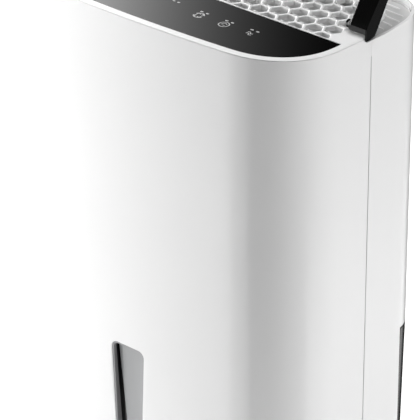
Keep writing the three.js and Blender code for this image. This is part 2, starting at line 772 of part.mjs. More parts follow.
function compressorBody() {
  const { x, y, radius: r, height: h, footHeight } = compressor;
  const z = deckTop + footHeight;
  const profile = [[0, 0], [r * 0.6, 0], [r * 0.92, 8], [r, 22], [r, h - 58], [r + 2, h - 57],
    [r + 2, h - 51], [r, h - 50], [r, h - 28], [r * 0.9, h - 11], [r * 0.55, h], [0, h]];
  const reach = r + compressorRoom.feet;
  const plate = [];
  for (let i = 0; i < 3; i += 1) {
    const turn = i * Math.PI * 2 / 3 + Math.PI / 6;
    for (let k = -1; k <= 1; k += 1) {
      const a = turn + k * 0.2;
      plate.push([x + reach * Math.cos(a), y + reach * Math.sin(a)]);
    }
  }
  const holes = mountPlaces().map(([mx, my]) => bar('z', 4.3, z - 3, z + 5, mx, my, 12));
  return join(
    revolve(profile, x, y, z + 1, 18),
    cut(extrude(plate, z, z + 3), holes),
    bar('z', 15, z + h - 6, z + h + 10, x - 10, y + 8, 16),
  );
}

function compressorMount([x, y]) {
  const z = deckTop + seat;
  const top = compressor.footHeight - seat - 0.2;
  const profile = [[0, 0], [8, 0], [8, 3], [6.4, 5], [8, 7.5], [8, top - seat], [4, top - seat],
    [4, top + 4.5], [5.6, top + 5], [5.6, top + 7], [0, top + 7]];
  return revolve(profile, x, y, z, 12);
}

// the bend that joins two rows of tube, between two heights
function hairpin([x0, x1], y, z0, z1) {
  const reach = x1 > 0 ? [x0 - 5, x1] : [x0, x1 + 5];
  return box(...reach, y - 3, y + 3, z0 - 3.4, z1 + 3.4);
}

// a finned coil: side plates, a comb of fins and the tube ends with their bends
function coilBlock(rearY) {
  const { left, right, bottom, top, depth, rows } = coil;
  const front = rearY - depth;
  const [x0, x1] = [left + 10, right - 10];
  const comb = [[x0, front + fin.proud], [x0, rearY - fin.proud]];
  const back = [];
  for (let x = x0 + fin.pitch; x < x1 - fin.pitch / 2; x += fin.pitch) {
    comb.push([x, rearY - fin.proud], [x, rearY], [x + fin.thick, rearY], [x + fin.thick, rearY - fin.proud]);
    back.push([x, front + fin.proud], [x, front], [x + fin.thick, front], [x + fin.thick, front + fin.proud]);
  }
  comb.push([x1, rearY - fin.proud], [x1, front + fin.proud], ...back.reverse());
  const parts = [extrude(comb.reverse(), bottom + 2, top - 2)];
  [x0, x1].forEach((x) => parts.push(box(x - 1, x + 1, front - 1, rearY + 1, bottom, top)));
  const stepZ = (top - bottom - 24) / rows;
  const y = (front + rearY) / 2;
  for (let i = 0; i < rows; i += 1) {
    const z = bottom + 12 + stepZ * (i + 0.5);
    const bend = i % 2 === 0 ? [right - 6, right] : [left, left + 6];
    parts.push(i % 2 === 0 ? bar('x', 4, left + 2, x0, y, z, 6) : bar('x', 4, x1, right - 2, y, z, 6));
    if (i < rows - 1) parts.push(hairpin(bend, y, z, z + stepZ));
  }
  return join(parts);
}
function dripTray() {
  const { left, right, bottom, depth, gap } = coil;
  const y0 = condenserRear - depth - 3;
  const y1 = coil.rearY + 2;
  const z0 = deckTop + seat;
  const outer = box(left - 2, right + 2, y0, y1, z0, bottom - seat);
  const hollow = box(left + 4, right - 4, y0 + 3, y1 - 3, z0 + 3, bottom);
  const tube = bar('z', spout.radius, deckBottom - 8, z0 + 4, spout.x, spout.y, 20);
  const bore = bar('z', spout.radius - spout.wall, deckBottom - 9, z0 + 5, spout.x, spout.y, 20);
  const pads = [left, right].map((x) => box(x - 2, x + 2 + gap / 2, y0, y1, z0, z0 + 3));
  return cut(join(outer, tube, pads), hollow, bore);
}

// ---------------------------------------------------------------- fan
function fanHousing() {
  const thick = fan.plate;
  const top = coil.top;
  const [left, right] = [fanLeft, fanRight];
  const y0 = fan.frontY - 6;
  const y1 = fanRearY + 5;
  const bowl = (grow) => {
    const points = [[top, right + grow]];
    for (let i = 0; i <= 20; i += 1) {
      const a = -i / 20 * Math.PI;
      const rx = (right - left) / 2 + grow;
      const cx = (left + right) / 2;
      points.push([fan.z + (fan.radius + fan.clearance + grow) * Math.sin(a), cx + rx * Math.cos(a)]);
    }
    points.push([top, left - grow]);
    return points.reverse();
  };
  const wallSolid = cut(extrude(bowl(thick), y0, y1, onZX), extrude(bowl(0), y0 + thick, y1 + 1, onZX));
  const legs = [left + 14, right - 14].map((x) => (
    box(x - 6, x + 6, y0, y0 + 12, deckTop + seat, fan.z - fan.radius / 2)
  ));
  const body = join(wallSolid, cut(join(legs), extrude(bowl(thick / 2), y0 - 1, y1 + 1, onZX)));
  return cut(
    body,
    extrude(bowl(0).map(([z, x]) => [z === top ? z + 5 : z, x]), y0 + thick, y1 + 1, onZX),
    bar('y', motor.radius + 1, y0 - 2, y0 + 4, fan.x, fan.z, 28),
  );
}

function inletRing() {
  const y0 = fanRearY + 5 + seat;
  const edge = fan.plate;
  const reach = fan.radius + fan.clearance + 10;
  const outline = roundedBox(fan.z - reach, coil.top - 1, fanLeft - edge, fanRight + edge, 20);
  const plate = extrude(outline, y0, y0 + edge, onZX);
  const mouth = fan.radius - 20;
  const funnel = bar('y', mouth + 3, y0 - 5, y0 + 1, fan.x, fan.z, 24, mouth + 8);
  const bore = bar('y', mouth, y0 - 6, y0 + edge + 1, fan.x, fan.z, 24, mouth + 6);
  return cut(join(plate, funnel), bore);
}

function impeller() {
  const y0 = fan.frontY;
  const y1 = fanRearY - 4;
  const blades = [];
  for (let k = 0; k < fan.blades; k += 1) {
    const start = k / fan.blades * Math.PI * 2;
    const outline = [];
    const back = [];
    for (let i = 0; i <= 3; i += 1) {
      const r = THREE.MathUtils.lerp(fan.hub, fan.radius - 1, i / 3);
      const a = start - 0.75 * (i / 3) ** 1.2;
      const half = (i === 3 ? 0.9 : 1.5) / r;
      outline.push([fan.z + r * Math.sin(a - half), fan.x + r * Math.cos(a - half)]);
      back.push([fan.z + r * Math.sin(a + half), fan.x + r * Math.cos(a + half)]);
    }
    blades.push(extrude([...outline, ...back.reverse()].reverse(), y0 + 1, y1 - 1, onZX));
  }
  const shroud = cut(
    bar('y', fan.radius, y1 - 2, y1, fan.x, fan.z, 24),
    bar('y', fan.eye, y1 - 4, y1 + 2, fan.x, fan.z, 18),
  );
  return cut(
    join(
      bar('y', fan.radius, y0, y0 + 2, fan.x, fan.z, 24),
      shroud,
      blades,
      bar('y', 12, y0, y0 + 20, fan.x, fan.z, 16, 9),
    ),
    bar('y', 4.4, y0 - 1, y0 + 14, fan.x, fan.z, 16),
  );
}

function fanMotor() {
  const back = fan.frontY - 6 + 1;
  return join(
    bar('y', motor.radius, back - motor.length, back, fan.x, fan.z, 24),
    bar('y', 4, back - 1, fan.frontY + 12, fan.x, fan.z, 12),
    box(fan.x - 44, fan.x + 44, back - 4.3, back - 1.3, fan.z - 8, fan.z + 8),
  );
}

// ---------------------------------------------------------------- pipes, electrics and fasteners
// a place in plan over the compressor, as shares of its radius from its axis
const overCompressor = (u, v) => [compressor.x + u * compressor.radius, compressor.y + v * compressor.radius];

function suctionPipe() {
  const z = deckTop + compressor.footHeight + compressor.height;
  const coilY = coil.rearY - coil.depth / 2;
  return pipe([
    [...overCompressor(0.59, 0.235), z + 1.2],
    [...overCompressor(0.59, 0.235), z + 16],
    [...overCompressor(0.67, 0.47), z + 30],
    [coil.left - 22, coilY - 10.5, z + 24],
    [coil.left - 12, coilY - 3, coil.top - 40],
    [coil.left - 6, coilY, coil.top - 36],
    [coil.left - seat, coilY, coil.top - 36],
  ], 4);
}

function dischargePipe() {
  const z = deckTop + compressor.footHeight + compressor.height;
  const coilY = condenserRear - coil.depth / 2;
  return pipe([
    [...overCompressor(0.27, -0.43), z + 1],
    [...overCompressor(0.27, -0.43), z + 20],
    [...overCompressor(0.59, -0.39), z + 34],
    [...overCompressor(1.02, 0), z + 20],
    [coil.left - 12, coilY - 10, z - 20],
    [coil.left - 10, coilY, z - 50],
    [coil.left - seat, coilY, z - 56],
  ], 3.2);
}

function filterDrier() {
  const profile = [[0, 0], [2.2, 0], [2.4, 10], [8.5, 20], [9, 24], [9, 62], [8.5, 66], [2.4, 76],
    [2.2, 90], [0, 90]];
  return revolve(profile, coil.left - 11.6, condenserRear - 2, deckTop + seat, 12);
}

function controlBox() {
  const { left, right, front, rear, bottom, wall: side, height } = electrics;
  const walls = cut(
    box(left, right, front, rear, bottom, bottom + height),
    box(left + side, right - side, front + side, rear - side, bottom + side, bottom + height + 1),
  );
  const legs = [left + 4, right - 8].map((x) => (
    box(x, x + 6, front + 3, front + 9, deckTop + seat, bottom + 1)
  ));
  return join(walls, legs);
}

function mainBoard() {
  const { left, right, front, rear, bottom, wall: side } = electrics;
  const z = bottom + side + seat;
  const board = box(left + 3, right - 3, front + 3, rear - 3, z, z + 1.6);
  // relays, a transformer, a heat sink and a terminal block: place as shares of the board, then their
  // width, depth and height
  const fitted = [
    [0.145, 0.23, 14, 18, 16],
    [0.387, 0.18, 20, 14, 12],
    [0.677, 0.23, 12, 12, 20],
    [0.226, 0.7, 24, 10, 9],
    [0.71, 0.6, 18, 18, 8],
  ];
  const blocks = fitted.map(([across, along, w, d, h]) => {
    const x = left + across * (right - left);
    const y = front + along * (rear - front);
    return box(x, x + w, y, y + d, z + 1, z + h);
  });
  return join(board, blocks);
}

function runCapacitor() {
  const z = deckTop + seat;
  const [x, y] = [coil.left + 22, fan.frontY - 26];
  const tabs = [-3, 3].map((shift) => box(x + shift - 1, x + shift + 1, y - 2, y + 2, z + 57, z + 64));
  return join(bar('z', 15, z, z + 58, x, y, 24), tabs);
}

function humiditySensor() {
  const x = filterWindow.halfWidth + 8;
  const y = halfDepth - rearPanel.rabbet - wall - seat;
  const z = filterWindow.top + 4;
  return join(box(x, x + 9, y - 6, y - 2, z, z + 20), box(x + 2, x + 7, y - 9, y - 5, z + 4, z + 14));
}

// a stepped round piece that fills a hole in the left side wall
function sidePlug({ hole, flange, y, above, reach, proud }) {
  const face = -halfWidth;
  const z = deckTop + above;
  return join(
    bar('x', hole - seat, face - seat - 0.5, face + wall + reach, y, z, 16),
    bar('x', hole + flange, face - seat - proud, face - seat, y, z, 16),
  );
}

function drainPlug() {
  const face = -halfWidth - seat - drain.proud;
  const z = deckTop + drain.above;
  const slotCut = box(face - 1, face + 0.8, drain.y - 6, drain.y + 6, z - 1, z + 1);
  return cut(sidePlug(drain), slotCut);
}

function cordGland() {
  const bore = bar('x', gland.bore, -halfWidth - 9, -halfWidth + 12, gland.y, deckTop + gland.above, 12);
  return cut(sidePlug(gland), bore);
}

// ---------------------------------------------------------------- materials and the assembly
const finish = (color, roughness, metalness = 0) => ({ color, roughness, metalness });
const whiteGloss = finish(0xf2f2f2, 0.18);
const whiteSatin = finish(0xe9e9e9, 0.45);
const blackGloss = finish(0x060606, 0.08);
const blackSatin = finish(0x0b0b0b, 0.35);
const greySatin = finish(0x6f7072, 0.5);
const rubberBlack = finish(0x161616, 0.85);
const copper = finish(0xb87333, 0.3, 1);
const aluminium = finish(0xbfc2c4, 0.35, 0.9);
const steel = finish(0x8e9194, 0.4, 0.8);
const enamel = finish(0x1b1c1e, 0.4, 0.2);
const boardGreen = finish(0x1c5b34, 0.5);
const smoked = finish(0x8a8c8e, 0.1);

const assembly = new THREE.Group();
assembly.name = 'dehumidifier';

function add(name, body, look) {
  const { vertProperties, triVerts } = body.getMesh();
  const geometry = new THREE.BufferGeometry();
  geometry.setAttribute('position', new THREE.BufferAttribute(new Float32Array(vertProperties), 3));
  geometry.setIndex(new THREE.BufferAttribute(new Uint32Array(triVerts), 1));
  geometry.computeVertexNormals();
  const mesh3d = new THREE.Mesh(geometry, new THREE.MeshStandardMaterial(look));
  mesh3d.name = name;
  assembly.add(mesh3d);
}

add('front_shell', frontShell(), whiteGloss);
add('rear_shell', rearShell(), whiteGloss);
add('top_cover', topCover(), whiteGloss);
add('outlet_vanes', outletVanes(), whiteSatin);
add('control_panel', controlPanel(), blackGloss);
add('control_board', controlBoard(), boardGreen);
add('carry_handle', carryHandle(), blackSatin);
[['left', -1], ['right', 1]].forEach(([word, side]) => {
  add(`hinge_bracket_${word}`, hingeBracket(side), blackSatin);
  add(`hinge_pin_${word}`, hingePin(side), whiteSatin);
});
add('window_frame', windowFrame(), greySatin);
add('level_window', levelWindow(), smoked);
add('base_pan', basePan(), blackSatin);
footPlaces().forEach(([x, y], i) => add(`foot_${i + 1}`, rubberFoot(x, y), rubberBlack));
add('chassis', chassis(), whiteSatin);
add('tank_bucket', tankBucket(), smoked);
add('tank_face', tankFacePanel(), blackGloss);
add('tank_lid', tankLid(), whiteSatin);
add('tank_float', tankFloat(), whiteSatin);
add('rear_intake', rearIntake(), whiteGloss);
add('filter_mesh', filterMesh(), greySatin);
add('compressor', compressorBody(), enamel);
mountPlaces().forEach((place, i) => add(`compressor_mount_${i + 1}`, compressorMount(place), rubberBlack));
add('evaporator', coilBlock(coil.rearY), aluminium);
add('condenser', coilBlock(condenserRear), aluminium);
add('drip_tray', dripTray(), whiteSatin);
add('fan_housing', fanHousing(), whiteSatin);
add('inlet_ring', inletRing(), whiteSatin);
add('fan_impeller', impeller(), greySatin);
add('fan_motor', fanMotor(), steel);
add('suction_pipe', suctionPipe(), copper);
add('discharge_pipe', dischargePipe(), copper);
add('filter_drier', filterDrier(), copper);
add('control_box', controlBox(), blackSatin);
add('main_board', mainBoard(), boardGreen);
add('run_capacitor', runCapacitor(), aluminium);
add('humidity_sensor', humiditySensor(), whiteSatin);
add('drain_plug', drainPlug(), rubberBlack);
add('cord_gland', cordGland(), rubberBlack);

export default assembly;
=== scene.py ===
"""Looks of the tower dehumidifier, built round its CAD frame. Sizes are in millimetres up to the stage."""

from functools import cached_property
import json
import math

import bpy
import bmesh
import numpy as np
from numpy import concatenate as join
from mathutils import Matrix, Vector
from mathutils.geometry import delaunay_2d_cdt

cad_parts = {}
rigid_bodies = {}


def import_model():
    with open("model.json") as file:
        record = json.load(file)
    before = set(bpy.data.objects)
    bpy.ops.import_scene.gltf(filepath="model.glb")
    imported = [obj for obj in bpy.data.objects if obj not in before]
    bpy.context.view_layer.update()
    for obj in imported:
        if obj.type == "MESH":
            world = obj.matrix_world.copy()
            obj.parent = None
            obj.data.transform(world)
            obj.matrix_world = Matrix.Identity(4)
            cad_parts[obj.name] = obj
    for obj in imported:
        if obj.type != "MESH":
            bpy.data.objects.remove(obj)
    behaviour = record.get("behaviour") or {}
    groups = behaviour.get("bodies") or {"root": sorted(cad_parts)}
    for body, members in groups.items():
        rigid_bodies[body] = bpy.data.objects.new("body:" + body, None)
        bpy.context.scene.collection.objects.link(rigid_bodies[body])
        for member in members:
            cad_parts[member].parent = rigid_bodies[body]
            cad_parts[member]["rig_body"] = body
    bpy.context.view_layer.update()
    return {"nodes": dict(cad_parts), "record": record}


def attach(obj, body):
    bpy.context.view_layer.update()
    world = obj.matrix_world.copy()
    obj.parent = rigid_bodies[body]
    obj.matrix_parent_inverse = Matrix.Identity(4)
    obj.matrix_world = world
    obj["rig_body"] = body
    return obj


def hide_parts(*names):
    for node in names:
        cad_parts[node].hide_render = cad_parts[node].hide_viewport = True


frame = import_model()
MM = 0.001

# -------- sizes
HALF_W, HALF_D, RIM = 175.0, 92.5, 500.0
BOW, FRONT_R, REAR_R, CORNER_POWER = 10.0, 66.0, 37.0, 2.15
WALL, FIT = 2.6, 2.9  # the shells' wall, and the cover's skirt inside it
SEAM_Y, SEAM_TOP = 14.2, RIM - 19
RIM_END_Y, SIDE_Y, CHANNEL_Y = 7.2, 7.3, 9.0  # the rim band and the high front edge end, the channel starts
CORNER_Y0, CORNER_Y1 = -86.0, -24.0  # the front corner lies between these
COVER_FLOOR, SKIRT, SHELL_TOP, SHELL_BOTTOM = RIM - 4.4, RIM - 14, RIM - 4.6, 8.0
PANEL_INSET, PANEL_REAR, PANEL_SEAT = 6.95, -15.4, RIM - 3.3
CHANNEL_W, CHANNEL_R, CHANNEL_FLOOR = 18.0, 33.0, RIM - 6
RIB_PITCH, RIB_FIRST, RIB_OUTER, RIB_HEIGHT, BACK_PITCH = 10.3, 40.6, 8.0, 0.9, 40.8
PIVOT_Y, PIVOT_Z, LEAN = 10.7, 505.4, math.radians(30.5)
HANDLE_IN, BARREL_IN, BARREL_OUT, BARREL_R, PIN_BORE = 16.4, 157.0, 175.4, 5.1, 2.3
BRACKET_X, BRACKET_PLATE = HALF_W - HANDLE_IN - 4.2, 1.4
FACE_TOP, FACE_Y, FACE_BOTTOM, FACE_TUCK = 211.0, 62.9, 9.8, 3.5
GRIP_TOP, GRIP_LOW, GRIP_W, GRIP_FLOOR = FACE_TOP - 11, FACE_TOP - 45, 45, 77.5
REAR_TOP, REAR_BOTTOM, REAR_Y = 477.0, 222.0, 76.0
FILTER_W, FILTER_Z0, FILTER_Z1 = 130.0, 236.0, 462.0
WINDOW_FOOT, WINDOW_HEAD = (-10.0, 15.0, 48.0), (-17.0, 20.3, 193.0)  # left, right and height
SLOPE_Y = 28.0, 86.0  # the rear shell's top edge rises between these
STEP_Y = 44.0, 55.0  # the handle's outer side steps in between these
TINY = 0.004  # a sharp step is this wide
CROWD = np.array([0, 0.05, 0.15, 0.35, 0.65, 1.0])  # samples over a rounded edge, as shares of its radius


# -------- the cabinet's plan outline
def outline_curve():
    """The closed outline by arc length, with its outward normals.

    From the middle of the front: a parabola in x, a superellipse corner sheared to the slope at its start,
    a straight side, a quarter circle and a straight back. The left half mirrors the right.
    """
    x0 = HALF_W - FRONT_R
    slope = 2 * BOW * x0 / HALF_W ** 2
    front_x = np.linspace(0, x0, 400, endpoint=False)
    front = np.stack([front_x, -HALF_D + BOW * (front_x / HALF_W) ** 2], 1)
    turn = np.linspace(0, np.pi / 2, 1600)
    dx = FRONT_R * np.sin(turn) ** (2 / CORNER_POWER)
    dy = FRONT_R * (1 - np.clip(np.cos(turn), 0, 1) ** (2 / CORNER_POWER))
    start = -HALF_D + BOW * (x0 / HALF_W) ** 2
    corner = np.stack([x0 + dx, start + dy + slope * dx * (1 - dx / FRONT_R)], 1)
    side_y = np.linspace(corner[-1, 1], HALF_D - REAR_R, 200)[1:-1]
    side = np.stack([np.full_like(side_y, HALF_W), side_y], 1)
    turn = np.linspace(0, np.pi / 2, 800)
    rear = np.stack([HALF_W - REAR_R * (1 - np.cos(turn)), HALF_D - REAR_R * (1 - np.sin(turn))], 1)
    back_x = np.linspace(HALF_W - REAR_R, 0, 300)[1:]
    back = np.stack([back_x, np.full_like(back_x, HALF_D)], 1)
    half = join([front, corner, side, rear, back])
    full = join([half, half[-2::-1] * [-1, 1]])
    step = np.linalg.norm(np.diff(full, axis=0), axis=1)
    s = join([[0], np.cumsum(step)])
    before = join([full[-2:-1], full[:-1]])
    after = join([full[1:], full[1:2]])
    tangent = after - before
    tangent /= np.linalg.norm(tangent, axis=1)[:, None]
    return s, full, np.stack([tangent[:, 1], -tangent[:, 0]], 1)


CURVE_S, CURVE_P, CURVE_N = outline_curve()
LENGTH = CURVE_S[-1]
REAR_FLAT = LENGTH / 2 - (HALF_W - REAR_R)  # arc length where the flat back begins


def at(s, inset, z):
    """Points at arc length s, moved inwards along the normal by inset, at height z; the three broadcast."""
    s, inset, z = np.broadcast_arrays(s, inset, z)
    turn = np.mod(s, LENGTH)
    point = np.stack([np.interp(turn, CURVE_S, CURVE_P[:, k]) for k in (0, 1)], -1)
    normal = np.stack([np.interp(turn, CURVE_S, CURVE_N[:, k]) for k in (0, 1)], -1)
    normal /= np.linalg.norm(normal, axis=-1, keepdims=True)
    return join([point - normal * inset[..., None], z[..., None]], -1)


def s_of(y):
    """Arc length at which the outline's right half reaches that y."""
    half = CURVE_S <= LENGTH / 2
    return float(np.interp(y, CURVE_P[half, 1], CURVE_S[half]))


def mirrored(half):
    """Arc lengths round the outline from those of its right half, with the outline's y at each."""
    y = np.interp(half, CURVE_S, CURVE_P[:, 1])
    return join([half, LENGTH - half[-2::-1]]), join([y, y[-2::-1]])


def smooth(value, low, high):
    """A soft step from 0 at low to 1 at high: three times the share squared less twice its cube."""
    t = np.clip((value - low) / (high - low), 0, 1)
    return t * t * (3 - 2 * t)


def ways(angles):
    """Unit vectors: the cosine and sine of each angle."""
    return np.stack([np.cos(angles), np.sin(angles)], 1)


def spaced(marks, steps):
    """Sample positions between marks, even in each interval and no further apart than its step."""
    parts = [
        np.linspace(a, b, max(2, int(np.ceil(abs(b - a) / step)) + 1))[:-1]
        for a, b, step in zip(marks[:-1], marks[1:], steps)
    ]
    return join(parts + [[marks[-1]]])


# -------- meshes
def placed(name, data):
    """An object made from data and linked to the scene."""
    obj = bpy.data.objects.new(name, data)
    bpy.context.scene.collection.objects.link(obj)
    return obj


def cells(index):
    """The four corners of each cell in a grid of point numbers."""
    return np.stack([index[:-1, :-1], index[1:, :-1], index[1:, 1:], index[:-1, 1:]], -1)


class Mesh:
    """Points and faces; parts are added one after another and then welded."""

    def __init__(self):
        self.points, self.faces, self.count = [], [], 0

    def add(self, points, faces):
        """Adds points, and faces that count from the first of them."""
        points = np.asarray(points, float).reshape(-1, 3)
        self.points.append(points)
        self.faces.extend((np.asarray(f) + self.count).tolist() for f in faces if len(f))
        self.count += len(points)
        return self

    def grid(self, points, close_u=False, close_v=False):
        """A surface from a (u, v, 3) grid of points."""
        nu, nv = points.shape[:2]
        index = np.arange(nu * nv).reshape(nu, nv)
        if close_u:
            index = join([index, index[:1]])
        if close_v:
            index = join([index, index[:, :1]], 1)
        return self.add(points, [cells(index).reshape(-1, 4)])

    def cap(self, loops, z):
        """A level face with holes: the first loop is the outline, the others are holes."""
        flat = join([np.asarray(p)[:, :2] for p in loops])
        ends = np.cumsum([0] + [len(p) for p in loops])
        faces = [list(range(a, b)) for a, b in zip(ends[:-1], ends[1:])]
        made = delaunay_2d_cdt(flat.tolist(), [], faces, 1, 1e-6, True)
        triangles = np.array([f for f, owner in zip(made[2], made[5]) if list(owner) == [0]])
        return self.add([(x, y, z) for x, y in made[0]], [triangles])

    def stack(self, rings):
        """Joins closed rings of points, (k, n, 3), in their order."""
        return self.grid(np.asarray(rings), close_v=True)

    def solid(self, rings):
        """Joins closed rings of points and shuts both ends."""
        self.stack(rings)
        for ring in (rings[0], rings[-1]):
            self.add(ring, [np.arange(len(ring))[None]])
        return self

    def extrude(self, loop, levels, axis=2):
        """A flat loop drawn out between two levels."""
        return self.solid([in_plane(loop, level, axis) for level in levels])

    def prism(self, corners, low, high, axis=2, radius=1.0, edge=0.4):
        """A convex polygon with round corners, drawn out between two levels.

        Towards each end its outline shrinks along a quarter circle of the radius edge.
        """
        bend = rounding(edge, 3)
        steps = [(g, high - d) for g, d in bend] + [(g, low + d) for g, d in bend[::-1]]
        return self.solid([in_plane(rounded_polygon(corners, -g, radius, 3), z, axis) for g, z in steps])

    def revolve(self, profile, centre, axis, sides):
        """A revolved profile that starts and ends with a flat end."""
        return self.solid(turned(profile, centre, axis, sides))

    def bar(self, x0, x1, y0, y1, z0, z1):
        """A plain bar of six faces, for what repeats very often."""
        corners = [[x, y, z] for x in (x0, x1) for y in (y0, y1) for z in (z0, z1)]
        faces = [[0, 1, 3, 2], [4, 6, 7, 5], [0, 4, 5, 1], [2, 3, 7, 6], [0, 2, 6, 4], [1, 5, 7, 3]]
        return self.add(corners, [faces])

    def build(self, name, weld=2e-3):
        """Welds the points, turns the faces outwards and makes an object of them, in metres."""
        mesh = bpy.data.meshes.new(name)
        faces = [face for group in self.faces for face in group]
        mesh.from_pydata((join(self.points) * MM).tolist(), [], faces)
        work = bmesh.new()
        work.from_mesh(mesh)
        bmesh.ops.remove_doubles(work, verts=work.verts, dist=weld * MM)
        bmesh.ops.dissolve_degenerate(work, edges=work.edges, dist=1e-7)
        bmesh.ops.recalc_face_normals(work, faces=work.faces)
        work.to_mesh(mesh)
        work.free()
        return placed(name, mesh)


def combine(obj, other, operation):
    """Applies an exact Boolean between two meshes and removes the second."""
    change = obj.modifiers.new("shape", "BOOLEAN")
    change.solver = "EXACT"
    change.operation = operation
    change.object = other
    evaluated = obj.evaluated_get(bpy.context.evaluated_depsgraph_get())
    made = bpy.data.meshes.new_from_object(evaluated)
    obj.modifiers.remove(change)
    obj.data = made
    bpy.data.objects.remove(other)
    return obj


def rounding(radius, steps=4):
    """Steps (in, down) of a quarter circle: the radius times one less the sine, and one less the cosine."""
    turn = np.linspace(0, np.pi / 2, steps + 1)
    return [(radius * (1 - math.sin(t)), radius * (1 - math.cos(t))) for t in turn]


def rounded_polygon(corners, grow=0.0, radius=1.0, steps=4):
    """A convex counterclockwise polygon moved outwards by grow, with an arc at each corner.

    An arc's centre lies on the corner's bisector, one radius inside both of its sides.
    """
    corners = np.asarray(corners, float)
    n = len(corners)
    edge = np.roll(corners, -1, 0) - corners
    normal = np.stack([edge[:, 1], -edge[:, 0]], 1) / np.linalg.norm(edge, axis=1)[:, None]
    loops = []
    for i in range(n):
        a, b = normal[i - 1], normal[i]
        centre = corners[i] - (a + b) * radius / (1 + a @ b)
        start = math.atan2(a[1], a[0])
        turn = math.remainder(math.atan2(b[1], b[0]) - start, 2 * math.pi)
        loops.append(centre + (radius + grow) * ways(start + np.linspace(0, turn, steps + 1)))
    return join(loops)


def in_plane(loop, level, axis=2):
    """A loop of 2-D points lifted to a level along an axis; the axes keep their order."""
    out = np.zeros((len(loop), 3))
    keep = [k for k in range(3) if k != axis]
    out[:, keep] = loop
    out[:, axis] = level
    return out


def rectangle(x0, x1, y0, y1):
    """The four corners, counterclockwise."""
    return [[x0, y0], [x1, y0], [x1, y1], [x0, y1]]


def turned(profile, centre, axis, sides):
    """Rings of a profile of (radius, level) points about an axis through a centre.

    Each is the radius times the cosine and sine of an angle, at its level along the axis.
    """
    profile = np.asarray(profile, float)
    angle = np.linspace(0, 2 * np.pi, sides, endpoint=False)
    out = np.zeros((len(profile), sides, 3))
    u, v = [k for k in range(3) if k != axis]
    out[..., u] = centre[0] + profile[:, :1] * np.cos(angle)
    out[..., v] = centre[1] + profile[:, :1] * np.sin(angle)
    out[..., axis] = profile[:, 1:]
    return out


def shell(outer, inner, keep=None):
    """A closed plate between two grids of points, with walls round its border and round its openings.

    The openings are the cells that aren't kept.
    """
    nu, nv = outer.shape[:2]
    count = nu * nv
    keep = np.ones((nu - 1, nv - 1), bool) if keep is None else keep
    every = cells(np.arange(count).reshape(nu, nv))
    quads, padded = every[keep], np.pad(keep, 1)
    walls = []
    for shift, a, b in (((-1, 0), 0, 3), ((1, 0), 1, 2), ((0, -1), 0, 1), ((0, 1), 3, 2)):
        near = padded[1 + shift[0]:nu + shift[0], 1 + shift[1]:nv + shift[1]]
        border = every[keep & ~near]
        p, q = border[:, a], border[:, b]
        walls.append(np.stack([p, q, q + count, p + count], -1))
    points = join([outer.reshape(-1, 3), inner.reshape(-1, 3)])
    return Mesh().add(points, [quads, quads[:, ::-1] + count, join(walls)])


def pillow(distance, radius):
    """How far a face drops near its rounded edge: a quarter circle of the distance from the edge."""
    gap = np.clip(radius - distance, 0, radius)
    return radius - np.sqrt(np.clip(radius ** 2 - gap ** 2, 0, None))


def edge_marks(low, high, radius, step, both=True):
    """Sample positions that crowd towards both rounded ends, or towards the low end alone."""
    a = low + radius * CROWD
    b = (high - radius * CROWD)[::-1] if both else [high]
    return join([a[:-1], spaced([a[-1], b[0]], [step]), b[1:]])


# -------- materials
def operator(kind, swapped=False):
    """A method of Value that makes one maths node."""
    def apply(self, other):
        inputs = [other, self] if swapped else [self, other]
        return self.graph.node("Math", inputs, operation=kind)
    return apply


class Value:
    """A shader output that can be added, multiplied and so on."""

    def __init__(self, graph, socket):
        self.graph, self.socket = graph, socket

    __add__ = __radd__ = operator("ADD")
    __mul__ = __rmul__ = operator("MULTIPLY")
    __sub__, __rsub__ = operator("SUBTRACT"), operator("SUBTRACT", True)
    __truediv__, __rtruediv__ = operator("DIVIDE"), operator("DIVIDE", True)
    most, power = operator("MAXIMUM"), operator("POWER")


class Graph:
    """The nodes of a material or of the world."""

    def __init__(self, owner, clear=True):
        owner.use_nodes = True
        self.owner, self.tree = owner, owner.node_tree
        if clear:
            self.tree.nodes.clear()

    def give(self, node, inputs):
        """Links or sets a node's inputs by number or name."""
        for key, value in inputs.items() if isinstance(inputs, dict) else enumerate(inputs):
            if isinstance(value, Value):
                self.tree.links.new(value.socket, node.inputs[key])
            else:
                node.inputs[key].default_value = value

    def node(self, kind, inputs=(), output=0, **settings):
        """Makes a node and returns one of its outputs."""
        node = self.tree.nodes.new("ShaderNode" + kind)
        for key, value in settings.items():
            setattr(node, key, value)
        self.give(node, inputs)
        return Value(self, node.outputs[output]) if node.outputs else None

    @cached_property
    def place(self):
        """The Object coordinates."""
        return self.node("TexCoord", output="Object")

    def axes(self):
        """Their x, y and z, in millimetres."""
        split = self.node("SeparateXYZ", [self.place])
        outputs = split.socket.node.outputs
        return [Value(self, outputs[k]) * (1 / MM) for k in range(3)]

    def ray(self, kind):
        """1 for a kind of ray, such as Camera or Glossy."""
        return self.node("LightPath", output=f"Is {kind} Ray")

    def ramp(self, value, a, b, low, high, kind="LINEAR"):
        """Goes from low at a to high at b."""
        return self.node("MapRange", [value, a, b, low, high], interpolation_type=kind)


